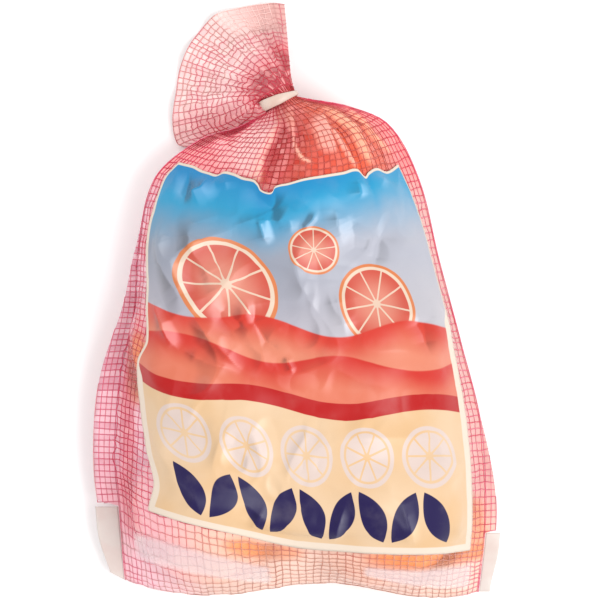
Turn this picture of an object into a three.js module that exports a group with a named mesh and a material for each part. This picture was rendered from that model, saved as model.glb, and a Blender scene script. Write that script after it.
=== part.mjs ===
// A net bag of grapefruit lying on its back: the net with its gathered neck and fanned tail, the printed film
// panel on its front, two bare film strips, the tie, and the film tabs at the two lower corners.
// Millimetres, +Z up. +Y runs from the bottom seam to the neck, +X to the right of the printed side.
import * as THREE from "three";

const { lerp, smoothstep, degToRad } = THREE.MathUtils;

// The fruit, in one layer on the ground: where each one lies and its radius.
const FRUIT = [
  { x: -43.5, y: -106, radius: 42.5 },
  { x: 43.5, y: -105.5, radius: 43 },
  { x: -46, y: -22.5, radius: 41 },
  { x: 39, y: -22, radius: 40.5 },
  { x: 6, y: 53.8, radius: 42 },
];
const FLAT_SPOT = 1.5; // how far a fruit settles into its flat spot on the ground
// Neighbours in the layer. The slack net lies flat on the ground between their flat spots.
const NEIGHBOURS = [[0, 1], [0, 2], [1, 3], [2, 3], [0, 3], [1, 2], [2, 4], [3, 4]];

// The neck, an oval waist in the net that leans to the left of the bag's length.
const NECK = { x: -9.3, y: 103.6, z: 40, halfWidth: 9, halfDepth: 7.5, length: 10, lean: degToRad(22) };
const ACROSS = new THREE.Vector3(Math.cos(NECK.lean), Math.sin(NECK.lean), 0);
const ALONG = new THREE.Vector3(-Math.sin(NECK.lean), Math.cos(NECK.lean), 0);
const NECK_MIDDLE = new THREE.Vector3(NECK.x, NECK.y, NECK.z);
const NECK_START = NECK_MIDDLE.clone().addScaledVector(ALONG, -NECK.length / 2);
const NECK_END = NECK_MIDDLE.clone().addScaledVector(ALONG, NECK.length / 2);
const neckEdge = (side) => NECK_START.clone().addScaledVector(ACROSS, side * NECK.halfWidth);

// The side seams, from the bottom seam at 0 to the neck at 1: a point on each side and their height.
const SEAMS = [
  { at: 0, left: [-89.5, -147], right: [94.5, -153.8], height: 11 },
  { at: 0.14, left: [-94.5, -110], right: [98, -112], height: 20 },
  { at: 0.28, left: [-92.5, -68], right: [95.5, -66], height: 24 },
  { at: 0.43, left: [-84.5, -23], right: [85, -23], height: 26 },
  { at: 0.58, left: [-82, 22], right: [73, 22], height: 28 },
  { at: 0.73, left: [-74, 62], right: [63, 62], height: 30 },
  { at: 0.85, left: [-51, 82.5], right: [47, 92], height: 34 },
  { at: 0.93, left: [-30, 89.5], right: [25, 102.8], height: 39 },
  { at: 0.965, left: [-22.6, 92.8], right: [9.5, 104.6], height: 39.6 },
  { at: 1, left: neckEdge(-1).toArray(), right: neckEdge(1).toArray(), height: NECK.z },
];
const SEAM_HALF = 0.6; // half the thickness of the two sheets where they are sealed together
const SEAM_EDGE = 0.8; // width of the sealed edge itself
// Where the bottom seam is drawn up between two fruit.
const BOTTOM_RISE = { height: 11, at: 0.58, width: 0.24 };
const BELLY = 7; // how far the bottom seam is pushed out between its corners
const BOTTOM_LIFT = 20; // how much higher off the ground the middle of the bottom seam is than its corners
const SKEW = 22; // how far the left of the net is pulled up the bag
const BOW = 11; // how far a row across the shoulder dips in its middle

// Flat side fins of slack net outside the seams, and the film tabs that take their place below.
const SIDES = {
  left: {
    sign: -1, fin: 11, fadeFrom: 0.34, fadeTo: 0.72,
    tabTop: 0.075, tabTopWidth: 12, tabFootWidth: 7.5, tabCut: 4,
  },
  right: {
    sign: 1, fin: 5.5, fadeFrom: 0.14, fadeTo: 0.32,
    tabTop: 0.11, tabTopWidth: 7.5, tabFootWidth: 5.5, tabCut: 0,
  },
};
const TAB_GAP = 0.5;
const TAB_HALF = 0.5;

// The printed panel: its lower and upper edge as places along the bag, its sides as shares of the width.
const LABEL_BOTTOM = 0.075;
const LABEL_TOP = 0.765;
const LABEL_SIDES = [
  { at: 0, left: 0.1, right: 0.958 },
  { at: 0.18, left: 0.108, right: 0.956 },
  { at: 0.3, left: 0.07, right: 0.956 },
  { at: 0.4, left: 0.042, right: 0.965 },
  { at: 0.5, left: 0.043, right: 0.972 },
  { at: 0.65, left: 0.035, right: 0.965 },
  { at: 0.78, left: 0.085, right: 0.925 },
  { at: 1, left: 0.085, right: 0.925 },
];
const FILM = { gap: 0.5, thickness: 0.8 };
const STRIP_FILM = { gap: 0.9, thickness: 0.8 };
// The bare strips below the panel, on the front sheet's grid: their columns, the rows at their two ends, and
// how many rows their middle is bowed up.
const STRIP_LEFT = { columns: [2, 15], leftRows: [3.2, 6.4], rightRows: [1, 4.6], bow: 1.2 };
const STRIP_RIGHT = { columns: [23, 34], leftRows: [3.4, 5.7], rightRows: [1, 6.8], bow: 0 };
const STRIP_STEPS = 4;

// The gathers: ridges of doubled net that run out from the neck, at these shares of the half width.
const GATHERS = [
  { at: -0.84, width: 0.07 }, { at: -0.46, width: 0.17 }, { at: 0.03, width: 0.06 },
  { at: 0.28, width: 0.09 }, { at: 0.49, width: 0.06 }, { at: 0.72, width: 0.07 },
];
const GATHER = { height: 3, from: 0.6, full: 0.86, fade: 0.92 };

// The tail, the net beyond the tie, fanned out to the left and drooping to the ground.
const TAIL = {
  reach: 52.3, rimHeight: 4, rimHalf: 1.3, fold: 2.4, folds: 4.5,
  leftAngle: degToRad(226), rightAngle: degToRad(84.5), shortSide: 4.7, shortTo: degToRad(150),
  corner: degToRad(127), cornerWidth: degToRad(9), cornerReach: 3.2,
  tip: degToRad(206), tipFrom: degToRad(175), tipReach: 7, foldedReach: 24,
};

// The tie, a flat band round the neck.
const TIE = { width: 5, thickness: 1.2, gap: 0.5, sides: 20 };

// The grid of the two sheets. Columns 0 and COLUMNS are the outer edges, 1 and COLUMNS - 1 the seams.
const COLUMNS = 36;
const LABEL_LEFT = 4;
const LABEL_RIGHT = 33;
const FOOT_ROWS = 8;
const LABEL_ROWS = 24;
const SHOULDER_ROWS = 9;
const TAIL_ROWS = 9;
const FIN_STEP = 0.0025; // the step along the bag in which a fin begins above its tab
const RELAX_STEPS = 900;

const stepsFrom = (from, to, count) => Array.from({ length: count }, (_, n) => lerp(from, to, n / count));
const ROWS = [
  ...stepsFrom(0, LABEL_BOTTOM, FOOT_ROWS),
  ...stepsFrom(LABEL_BOTTOM, LABEL_TOP, LABEL_ROWS),
  ...stepsFrom(LABEL_TOP, 1, SHOULDER_ROWS),
  1,
  ...Object.values(SIDES).flatMap((side) => [side.tabTop, side.tabTop + FIN_STEP]),
].sort((a, b) => a - b).filter((t, n, all) => n === 0 || t - all[n - 1] > FIN_STEP / 2);
const LAST = ROWS.length - 1;
const labelRow = (t) => ROWS.findIndex((row) => Math.abs(row - t) < FIN_STEP / 2);

// A smooth curve through stations, each with a place "at" and a value read from it.
function along(stations, value, t) {
  let n = 0;
  while (n < stations.length - 2 && t > stations[n + 1].at) n += 1;
  const slope = (k) => {
    const a = stations[Math.max(k - 1, 0)];
    const b = stations[Math.min(k + 1, stations.length - 1)];
    return (value(b) - value(a)) / (b.at - a.at);
  };
  const [a, b] = [stations[n], stations[n + 1]];
  const span = b.at - a.at;
  const u = (t - a.at) / span;
  const u2 = u * u;
  const u3 = u2 * u;
  return (2 * u3 - 3 * u2 + 1) * value(a) + (u3 - 2 * u2 + u) * span * slope(n)
    + (3 * u2 - 2 * u3) * value(b) + (u3 - u2) * span * slope(n + 1);
}

const seamHeight = (t) => along(SEAMS, (s) => s.height, t);

// The width of the sealed edge or fin outside a seam.
function finWidth(side, t) {
  const begun = smoothstep(t, side.tabTop, side.tabTop + FIN_STEP);
  return SEAM_EDGE + side.fin * begun * (1 - smoothstep(t, side.fadeFrom, side.fadeTo));
}

// A column's place between the seams, from 0 at the left one to 1 at the right one.
function columnShare(column, t) {
  const left = along(LABEL_SIDES, (s) => s.left, t);
  const right = along(LABEL_SIDES, (s) => s.right, t);
  if (column < LABEL_LEFT) return lerp(0, left, Math.max(column - 1, 0) / (LABEL_LEFT - 1));
  if (column <= LABEL_RIGHT) return lerp(left, right, (column - LABEL_LEFT) / (LABEL_RIGHT - LABEL_LEFT));
  const seam = COLUMNS - 1;
  return lerp(right, 1, (Math.min(column, seam) - LABEL_RIGHT) / (seam - LABEL_RIGHT));
}

// A column's angle round the neck's oval, from -90 degrees at the left to 90 at the right.
const neckAngle = (column) => (2 * column / COLUMNS - 1) * Math.PI / 2;

function neckPoint(centre, column, sheet) {
  const depth = Math.max(SEAM_HALF, NECK.halfDepth * Math.cos(neckAngle(column)));
  const p = centre.clone().addScaledVector(ACROSS, NECK.halfWidth * Math.sin(neckAngle(column)));
  return p.setZ(centre.z + sheet * depth);
}

// Where a column crosses a row, seen from above.
function plan(column, t) {
  const share = columnShare(column, t);
  const middle = 1 - (2 * share - 1) ** 2;
  const seamPoint = (side) => [0, 1].map((k) => along(SEAMS, (s) => s[side][k], t));
  const [left, right] = [seamPoint("left"), seamPoint("right")];
  const skew = SKEW * smoothstep(t, 0, 0.09) * (1 - smoothstep(t, 0.3, 0.7)) * (1 - share) ** 3;
  const bow = BOW * smoothstep(t, 0.45, 0.78) * (1 - smoothstep(t, 0.84, 1));
  const dip = Math.exp(-(((share - BOTTOM_RISE.at) / BOTTOM_RISE.width) ** 2));
  const belly = BELLY * (1 - (2 * share - 1) ** 4);
  const rise = (BOTTOM_RISE.height * dip - belly) * (1 - smoothstep(t, 0, 0.1));
  const p = new THREE.Vector3(lerp(left[0], right[0], share), lerp(left[1], right[1], share), 0);
  p.y += skew + rise - bow * middle;
  if (column === 0) p.x -= finWidth(SIDES.left, t);
  if (column === COLUMNS) p.x += finWidth(SIDES.right, t);
  return p;
}

// The height of the highest fruit above a point, or -Infinity.
function fruitTop(p) {
  const tops = FRUIT.map((f) => {
    const rest = f.radius ** 2 - (p.x - f.x) ** 2 - (p.y - f.y) ** 2;
    return rest > 0 ? f.radius - FLAT_SPOT + Math.sqrt(rest) : -Infinity;
  });
  return Math.max(...tops);
}

// The height of the lowest fruit, or of the slack between two neighbours, above a point, or Infinity.
function fruitFoot(p) {
  const feet = NEIGHBOURS.map(([m, n]) => {
    const [a, b] = [FRUIT[m], FRUIT[n]];
    const [dx, dy] = [b.x - a.x, b.y - a.y];
    const u = THREE.MathUtils.clamp(((p.x - a.x) * dx + (p.y - a.y) * dy) / (dx * dx + dy * dy), 0, 1);
    const radius = lerp(a.radius, b.radius, u);
    const rest = radius ** 2 - (p.x - a.x - u * dx) ** 2 - (p.y - a.y - u * dy) ** 2;
    return rest > 0 ? radius - FLAT_SPOT - Math.sqrt(rest) : Infinity;
  });
  return Math.max(0, Math.min(...feet));
}

// One sheet of the body, drawn tight over the fruit from seam to seam: 1 is the front, -1 the back.
function bodySheet(sheet) {
  const points = ROWS.map((t, j) => Array.from({ length: COLUMNS + 1 }, (_, i) => {
    if (j === LAST) return neckPoint(NECK_START, i, sheet);
    const p = plan(i, t);
    const middle = 1 - (2 * columnShare(i, t) - 1) ** 2;
    return p.setZ(seamHeight(t) + (j === 0 ? BOTTOM_LIFT * middle : 0) + sheet * SEAM_HALF);
  }));
  const limit = points.map((row) => row.map((p) => (sheet > 0 ? fruitTop(p) : fruitFoot(p))));
  for (let n = 0; n < RELAX_STEPS; n += 1) {
    const z = points.map((row) => row.map((p) => p.z));
    for (let j = 1; j < LAST; j += 1) {
      for (let i = 2; i < COLUMNS - 1; i += 1) {
        const level = (z[j - 1][i] + z[j + 1][i] + z[j][i - 1] + z[j][i + 1]) / 4;
        points[j][i].z = sheet > 0 ? Math.max(level, limit[j][i]) : Math.max(0, Math.min(level, limit[j][i]));
      }
    }
  }
  return points;
}

// The outward normal at a grid point of a sheet.
function normalAt(points, j, i, sheet) {
  const rise = points[Math.min(j + 1, points.length - 1)][i].clone().sub(points[Math.max(j - 1, 0)][i]);
  const run = points[j][Math.min(i + 1, COLUMNS)].clone().sub(points[j][Math.max(i - 1, 0)]);
  return run.cross(rise).normalize().multiplyScalar(sheet);
}

// Raises the gathers on a sheet, along its normals.
function gather(points, sheet) {
  const normals = points.map((row, j) => row.map((_, i) => normalAt(points, j, i, sheet)));
  ROWS.forEach((t, j) => {
    const begun = smoothstep(t, GATHER.from, GATHER.full);
    const height = GATHER.height * begun * (1 - smoothstep(t, GATHER.fade, 1));
    for (let i = 2; i < COLUMNS - 1; i += 1) {
      const s = 2 * columnShare(i, t) - 1;
      const ridge = GATHERS.reduce((sum, g) => sum + Math.exp(-(((s - g.at) / g.width) ** 2)), 0);
      points[j][i].addScaledVector(normals[j][i], height * ridge);
      points[j][i].z = Math.max(0, points[j][i].z);
    }
  });
}

// How far the tail reaches from the neck in a direction.
function tailReach(angle) {
  const corner = TAIL.cornerReach * Math.exp(-(((angle - TAIL.corner) / TAIL.cornerWidth) ** 2));
  const tip = TAIL.tipReach * smoothstep(angle, TAIL.tipFrom, TAIL.tip);
  const short = TAIL.shortSide * (1 - smoothstep(angle, TAIL.rightAngle, TAIL.shortTo));
  const folded = smoothstep(angle, TAIL.tip, TAIL.leftAngle);
  return lerp(TAIL.reach + corner + tip - short, TAIL.foldedReach, folded);
}

// A row of the tail, at a share of its length, on one sheet.
function tailRow(share, sheet) {
  return Array.from({ length: COLUMNS + 1 }, (_, i) => {
    const start = neckPoint(NECK_END, i, sheet);
    const angle = lerp(TAIL.leftAngle, TAIL.rightAngle, i / COLUMNS);
    const out = new THREE.Vector3(Math.cos(angle), Math.sin(angle), 0);
    const spread = NECK_END.clone().lerp(start, 1 - share).addScaledVector(out, tailReach(angle) * share);
    const fold = TAIL.fold * smoothstep(share, 0.1, 0.6) * Math.sin(2 * Math.PI * TAIL.folds * i / COLUMNS);
    const droop = lerp(NECK.z, TAIL.rimHeight, smoothstep(tailReach(angle) * share, 0, TAIL.reach));
    const half = lerp(sheet * (start.z - NECK.z), TAIL.rimHalf, smoothstep(share, 0, 0.5));
    return spread.setZ(droop + fold + sheet * Math.max(half, SEAM_HALF));
  });
}

// A closed solid between two grids of the same size: the outer one, and the inner one behind it.
function solidBetween(outer, inner) {
  const rows = outer.length;
  const columns = outer[0].length;
  const positions = [...outer.flat(), ...inner.flat()].flatMap((p) => p.toArray());
  const index = [];
  const at = (layer, j, i) => layer * rows * columns + j * columns + i;
  const quad = (a, b, c, d) => index.push(a, b, c, a, c, d);
  for (let j = 0; j < rows - 1; j += 1) {
    for (let i = 0; i < columns - 1; i += 1) {
      quad(at(0, j, i), at(0, j, i + 1), at(0, j + 1, i + 1), at(0, j + 1, i));
      quad(at(1, j, i), at(1, j + 1, i), at(1, j + 1, i + 1), at(1, j, i + 1));
    }
    quad(at(0, j, 0), at(0, j + 1, 0), at(1, j + 1, 0), at(1, j, 0));
    quad(at(0, j + 1, columns - 1), at(0, j, columns - 1), at(1, j, columns - 1), at(1, j + 1, columns - 1));
  }
  for (let i = 0; i < columns - 1; i += 1) {
    quad(at(0, 0, i + 1), at(0, 0, i), at(1, 0, i), at(1, 0, i + 1));
    quad(at(0, rows - 1, i), at(0, rows - 1, i + 1), at(1, rows - 1, i + 1), at(1, rows - 1, i));
  }
  const geometry = new THREE.BufferGeometry();
  geometry.setAttribute("position", new THREE.Float32BufferAttribute(positions, 3));
  geometry.setIndex(index);
  geometry.computeVertexNormals();
  return geometry;
}

// A bare strip of film over the front sheet, whose rows may lie between the sheet's own.
function stripOver(front, strip, film) {
  const [first, last] = strip.columns;
  const layer = (offset) => Array.from({ length: STRIP_STEPS + 1 }, (_, j) =>
    Array.from({ length: last - first + 1 }, (_, i) => {
      const u = i / (last - first);
      const [low, high] = [0, 1].map((k) => lerp(strip.leftRows[k], strip.rightRows[k], u));
      const row = lerp(low, high, j / STRIP_STEPS) + strip.bow * 4 * u * (1 - u);
      const below = Math.floor(row);
      const at = (n) => front[n][first + i].clone().addScaledVector(normalAt(front, n, first + i, 1), offset);
      return at(below).lerp(at(below + 1), row - below);
    }));
  return solidBetween(layer(film.gap + film.thickness), layer(film.gap));
}

// A thin film that lies over a patch of the front sheet, with a hair's gap to it.
function filmOver(front, [firstRow, lastRow], [firstColumn, lastColumn], film) {
  const layer = (offset) => front.slice(firstRow, lastRow + 1).map((row, j) =>
    row.slice(firstColumn, lastColumn + 1).map((p, i) =>
      p.clone().addScaledVector(normalAt(front, firstRow + j, firstColumn + i, 1), offset)));
  return solidBetween(layer(film.gap + film.thickness), layer(film.gap));
}

// The film tab outside the seam at a lower corner, where the fin ends.
function cornerTab(side) {
  const column = side.sign < 0 ? 0 : COLUMNS;
  const steps = 6;
  const layer = (offset) => Array.from({ length: steps + 1 }, (_, n) => {
    const t = lerp(0, side.tabTop - FIN_STEP, n / steps);
    const width = lerp(side.tabFootWidth, side.tabTopWidth, smoothstep(n / steps, 0, 0.7));
    const edge = plan(column, t).setZ(seamHeight(t) + offset);
    const [near, far] = [TAB_GAP, TAB_GAP + width].map((d) => edge.clone().setX(edge.x + side.sign * d));
    far.y += side.tabCut * (1 - n / steps);
    return side.sign < 0 ? [far, near] : [near, far];
  });
  return solidBetween(layer(TAB_HALF), layer(-TAB_HALF));
}

// The flat band that ties the neck.
function tieBand() {
  const [wide, deep] = [NECK.halfWidth + TIE.gap, NECK.halfDepth + TIE.gap];
  const band = new THREE.Shape().absellipse(0, 0, wide + TIE.thickness, deep + TIE.thickness, 0, 2 * Math.PI);
  band.holes.push(new THREE.Path().absellipse(0, 0, wide, deep, 0, 2 * Math.PI, true));
  const settings = { depth: TIE.width, bevelEnabled: false, curveSegments: TIE.sides };
  const geometry = new THREE.ExtrudeGeometry(band, settings);
  geometry.translate(0, 0, -TIE.width / 2);
  const up = new THREE.Vector3(0, 0, 1);
  geometry.applyMatrix4(new THREE.Matrix4().makeBasis(ACROSS, up, ACROSS.clone().cross(up)));
  return geometry.translate(...NECK_MIDDLE.toArray());
}

function named(name, geometry, colour, roughness) {
  const material = new THREE.MeshStandardMaterial({ color: colour, roughness, metalness: 0 });
  const mesh = new THREE.Mesh(geometry, material);
  mesh.name = name;
  return mesh;
}

const [front, back] = [1, -1].map((sheet) => {
  const points = bodySheet(sheet);
  gather(points, sheet);
  const tailShares = Array.from({ length: TAIL_ROWS + 1 }, (_, n) => n / TAIL_ROWS);
  return [...points, ...tailShares.map((share) => tailRow(share, sheet))];
});

const labelRows = [labelRow(LABEL_BOTTOM), labelRow(LABEL_TOP)];
const bag = new THREE.Group();
bag.add(
  named("net_bag", solidBetween(front, back), 0xd8506a, 0.5),
  named("label_panel", filmOver(front, labelRows, [LABEL_LEFT, LABEL_RIGHT], FILM), 0xe8a080, 0.35),
  named("strip_left", stripOver(front, STRIP_LEFT, STRIP_FILM), 0xf0e2dc, 0.4),
  named("strip_right", stripOver(front, STRIP_RIGHT, STRIP_FILM), 0xf0e2dc, 0.4),
  named("corner_tab_left", cornerTab(SIDES.left), 0xece2da, 0.45),
  named("corner_tab_right", cornerTab(SIDES.right), 0xece2da, 0.45),
  named("neck_tie", tieBand(), 0xf2dcc8, 0.45),
);

// The origin is on the ground, under the middle of the whole bag.
const box = new THREE.Box3().setFromObject(bag);
bag.position.set(-(box.min.x + box.max.x) / 2, -(box.min.y + box.max.y) / 2, -box.min.z);

export default bag;
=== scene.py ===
"""The looks of a net bag of grapefruit: film with net strands, fruit, printed and bare film, the tie."""
import math

import bpy
import numpy as np
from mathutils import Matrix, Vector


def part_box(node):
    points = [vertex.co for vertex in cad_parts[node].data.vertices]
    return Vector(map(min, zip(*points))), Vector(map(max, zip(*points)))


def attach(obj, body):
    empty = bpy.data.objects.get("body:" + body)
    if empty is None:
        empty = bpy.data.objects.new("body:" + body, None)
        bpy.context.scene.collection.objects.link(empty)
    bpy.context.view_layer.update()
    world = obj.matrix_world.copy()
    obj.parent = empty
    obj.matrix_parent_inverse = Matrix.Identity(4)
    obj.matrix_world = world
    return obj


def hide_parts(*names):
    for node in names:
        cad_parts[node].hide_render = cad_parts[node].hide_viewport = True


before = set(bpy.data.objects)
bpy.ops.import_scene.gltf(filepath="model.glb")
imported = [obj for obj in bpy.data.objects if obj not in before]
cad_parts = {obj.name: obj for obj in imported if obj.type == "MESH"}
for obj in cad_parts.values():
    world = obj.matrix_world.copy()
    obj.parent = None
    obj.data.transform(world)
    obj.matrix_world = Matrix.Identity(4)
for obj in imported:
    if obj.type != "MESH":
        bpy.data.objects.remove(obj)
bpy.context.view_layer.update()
MM = 0.001
RANDOM = np.random.default_rng(7)
# The seeds of the noise in the slack, the tail's ripples and crumples, the strands' sway and the tabs.
SLACK_SEED, RIPPLE_SEED, CRUMPLE_SEED, BODY_SEED, TAIL_SEED, TAB_SEED = 3, 11, 13, 21, 31, 51
LATTICE = 64

# The fruit: where each lies, its radius and the direction of its stem.
FRUIT = [
    dict(x=-43.5, y=-106.0, radius=42.5, stem=(-0.5, 0.5, 0.7)),
    dict(x=43.5, y=-105.5, radius=43.0, stem=(0.7, 0.2, 0.68)),
    dict(x=-46.0, y=-22.5, radius=41.0, stem=(-0.8, 0.1, 0.6)),
    dict(x=39.0, y=-22.0, radius=40.5, stem=(0.3, -0.7, 0.65)),
    dict(x=6.0, y=53.8, radius=42.0, stem=(0.2, -0.9, 0.4)),
]
FLAT_SPOT = 1.5
NEIGHBOURS = [(0, 1), (0, 2), (1, 3), (2, 3), (0, 3), (1, 2), (2, 4), (3, 4)]

# The neck, the side seams from the bottom seam at 0 to the neck at 1, and the shape of the rows.
NECK = np.array([-9.3, 103.6, 40.0])
NECK_HALF_WIDTH = 9.0
NECK_HALF_DEPTH = 7.5
NECK_LENGTH = 10.0
NECK_LEAN = math.radians(22)
ACROSS = np.array([math.cos(NECK_LEAN), math.sin(NECK_LEAN), 0.0])
ALONG = np.array([-math.sin(NECK_LEAN), math.cos(NECK_LEAN), 0.0])
NECK_START = NECK - ALONG * NECK_LENGTH / 2
NECK_END = NECK + ALONG * NECK_LENGTH / 2
NECK_LEFT = NECK_START - ACROSS * NECK_HALF_WIDTH
NECK_RIGHT = NECK_START + ACROSS * NECK_HALF_WIDTH
SEAM_AT = [0, 0.14, 0.28, 0.43, 0.58, 0.73, 0.85, 0.93, 0.965, 1]
SEAM_LEFT_X = [-89.5, -94.5, -92.5, -84.5, -82, -74, -51, -30, -22.6, NECK_LEFT[0]]
SEAM_LEFT_Y = [-147, -110, -68, -23, 22, 62, 82.5, 89.5, 92.8, NECK_LEFT[1]]
SEAM_RIGHT_X = [94.5, 98, 95.5, 85, 73, 63, 47, 25, 9.5, NECK_RIGHT[0]]
SEAM_RIGHT_Y = [-153.8, -112, -66, -23, 22, 62, 91, 100.6, 103, NECK_RIGHT[1]]
SEAM_HEIGHT = [11, 20, 24, 26, 28, 30, 34, 39, 39.6, NECK[2]]
SEAM_HALF = 0.6
SEAM_EDGE = 0.8
RISE_HEIGHT, RISE_AT, RISE_WIDTH = 11.0, 0.58, 0.24
BELLY = 7.0
BOTTOM_LIFT = 20.0
RISE_ENDS = 0.1
SKEW, SKEW_FULL, SKEW_FADES = 22.0, 0.09, (0.3, 0.7)
BOW, BOW_RISES, BOW_FADES = 11.0, (0.45, 0.78), (0.84, 1)

# The flat fins of slack net outside the seams, with where each fades along the bag, and the tabs below
# them: the upper end, the widths at the foot and further up, and how far the outer lower corner is raised.
LEFT = dict(
    sign=-1, share=0.0, fin=11.0, fade=(0.24, 0.68), tab_top=0.075, tab_widths=(7.5, 12.0), tab_cut=4.0)
RIGHT = dict(
    sign=1, share=1.0, fin=5.5, fade=(0.14, 0.32), tab_top=0.11, tab_widths=(5.5, 7.5), tab_cut=0.0)
FIN_STEP = 0.0025
TAB_GAP = 0.5

# The printed panel: its lower and upper edge along the bag, and its sides as shares of the width.
LABEL_BOTTOM = 0.075
LABEL_TOP = 0.765
LABEL_AT = [0, 0.18, 0.3, 0.4, 0.5, 0.65, 0.78, 1]
LABEL_LEFT_SHARE = [0.1, 0.108, 0.07, 0.042, 0.043, 0.035, 0.085, 0.085]
LABEL_RIGHT_SHARE = [0.958, 0.956, 0.956, 0.965, 0.972, 0.965, 0.925, 0.925]
# How far up the bag the printed film's lower edge is pulled, at shares of its width.
BOTTOM_EDGE = [(0, 0.017), (0.25, 0.0135), (0.45, 0.004), (0.6, 0.004), (0.8, 0.006), (1, 0.007)]

# The photo's scale, for places that are given in its pixels.
PHOTO_MM_PER_PIXEL = 0.518
PHOTO_MIDDLE = (297.0, 300.0)
FOLD_TAPER = 0.3

# The pleats below the neck: a line of photo pixels, the rise, the reach to its left and right, and how
# pale it is. They begin and end at places along the bag, and turn pale over a stretch of their height.
PLEATS = [
    (((284, 104), (276, 133), (263, 157), (259, 192)), 2.0, 22.0, 2.0, 0.8),
    (((289, 96), (290, 120), (293, 140)), 1.6, 3.6, 2.8, 0.85),
    (((292, 126), (295, 150), (302, 161), (316, 168)), 1.2, 1.3, 1.3, 0.85),
    (((320, 110), (327, 130), (336, 158)), 1.4, 10.0, 1.8, 0.75),
    (((316, 102), (339, 118), (353, 129), (360, 144), (373, 172)), 1.6, 4.0, 3.2, 0.85),
    (((329, 126), (345, 153), (358, 174)), 1.2, 1.8, 1.6, 0.8),
    (((340, 104), (363, 122), (371, 135), (394, 157)), 1.2, 2.2, 2.2, 0.7),
    (((212, 128), (228, 150), (232, 178)), 1.0, 8.0, 5.0, 0.3),
]
PLEAT_FROM, PLEAT_FULL, PLEAT_FADE, PLEAT_END, PLEAT_PALES = 0.66, 0.74, 0.9, 0.99, (0.05, 0.5)
# Where the net is bunched and deep red, with painted shade along the first line, where the tail lies on the
# shoulder: a line of photo pixels, the reach to its left and right, and how deep it is. It is fully so from a
# share of the way in, and it is also deep red round the neck.
RED_AND_SHADE_LINES = [
    (((268, 106), (240, 130), (200, 142), (166, 154)), 7.0, 4.0, 0.85),
    (((287, 108), (279, 140), (270, 165), (270, 200)), 2.5, 15.0, 0.85),
    (((176, 176), (160, 205), (152, 232), (144, 270)), 6.0, 5.0, 0.9),
    (((146, 270), (138, 330), (126, 400), (130, 500), (134, 560)), 6.0, 7.0, 0.68),
    (((124, 455), (128, 500), (134, 550)), 8.0, 9.0, 0.7),
]
FLUSH_FULL, NECK_FLUSH, NECK_FLUSH_REACH = 0.8, 0.5, 12.0

# The tail: its reach from the neck, its rim, its folds, and the directions of its sides, corner and tip.
TAIL_REACH, TAIL_RIM_HEIGHT, TAIL_RIM_HALF, TAIL_THIN = 52.3, 4.0, 1.3, 0.5
TAIL_FOLD, TAIL_FOLDS, TAIL_FOLD_BEGINS = 2.4, 4.5, (0.1, 0.6)
TAIL_LEFT, TAIL_RIGHT = math.radians(226), math.radians(84.5)
TAIL_SHORT_SIDE, TAIL_SHORT_TO = 4.7, math.radians(150)
TAIL_CORNER, TAIL_CORNER_WIDTH, TAIL_CORNER_REACH = math.radians(127), math.radians(9), 1.6
TAIL_TIP, TAIL_TIP_FROM = math.radians(206), math.radians(175)
TAIL_TIP_REACH, TAIL_FOLDED_REACH = 5.6, 24.0

# The coarse grid on which the two sheets are drawn tight over the fruit.
COLUMNS = 36
LABEL_LEFT, LABEL_RIGHT = 4, 33
FOOT_ROWS, LABEL_ROWS, SHOULDER_ROWS, TAIL_ROWS = 8, 24, 9, 9
RELAX_STEPS = 900


def ease(x, low, high):
    u = np.clip((np.asarray(x, float) - low) / (high - low), 0, 1)
    return u * u * (3 - 2 * u)


def unit(vectors):
    return vectors / np.maximum(np.linalg.norm(vectors, axis=-1, keepdims=True), 1e-9)


def along(at, values, t):
    """A smooth curve through values at their places, read at t. The places run along the first axis."""
    at = np.asarray(at, float)
    values = np.asarray(values, float)
    t = np.asarray(t, float)
    before = np.maximum(np.arange(len(at)) - 1, 0)
    after = np.minimum(np.arange(len(at)) + 1, len(at) - 1)
    spread = (at[after] - at[before]).reshape((-1,) + (1,) * (values.ndim - 1))
    slope = (values[after] - values[before]) / spread
    n = np.clip(np.searchsorted(at, t, side="left") - 1, 0, len(at) - 2)
    span = at[n + 1] - at[n]
    u = (t - at[n]) / span
    shape = u.shape + (1,) * (values.ndim - 1)
    u = u.reshape(shape)
    span = span.reshape(shape)
    rise = 3 * u**2 - 2 * u**3
    ends = (1 - rise) * values[n] + rise * values[n + 1]
    turns = (u**3 - 2 * u**2 + u) * slope[n] + (u**3 - u**2) * slope[n + 1]
    return ends + turns * span


def curve(pairs, t):
    """A smooth curve through pairs of a place and a value, read at t."""
    return along(*zip(*pairs), t)


def lattice_noise(x, y, size, seed):
    """Smooth noise between -1 and 1 over a plane, with bumps of about this size."""
    table = np.random.default_rng(seed).uniform(-1, 1, (LATTICE, LATTICE))
    i = np.floor(x / size).astype(int)
    j = np.floor(y / size).astype(int)
    u = ease(x / size - i, 0, 1)
    v = ease(y / size - j, 0, 1)
    left, right = i % LATTICE, (i + 1) % LATTICE
    below, above = j % LATTICE, (j + 1) % LATTICE
    low = table[left, below] * (1 - u) + table[right, below] * u
    high = table[left, above] * (1 - u) + table[right, above] * u
    return low * (1 - v) + high * v


def photo_point(pixel):
    return ((np.array(pixel, float) - PHOTO_MIDDLE) * [1, -1]) * PHOTO_MM_PER_PIXEL


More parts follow.
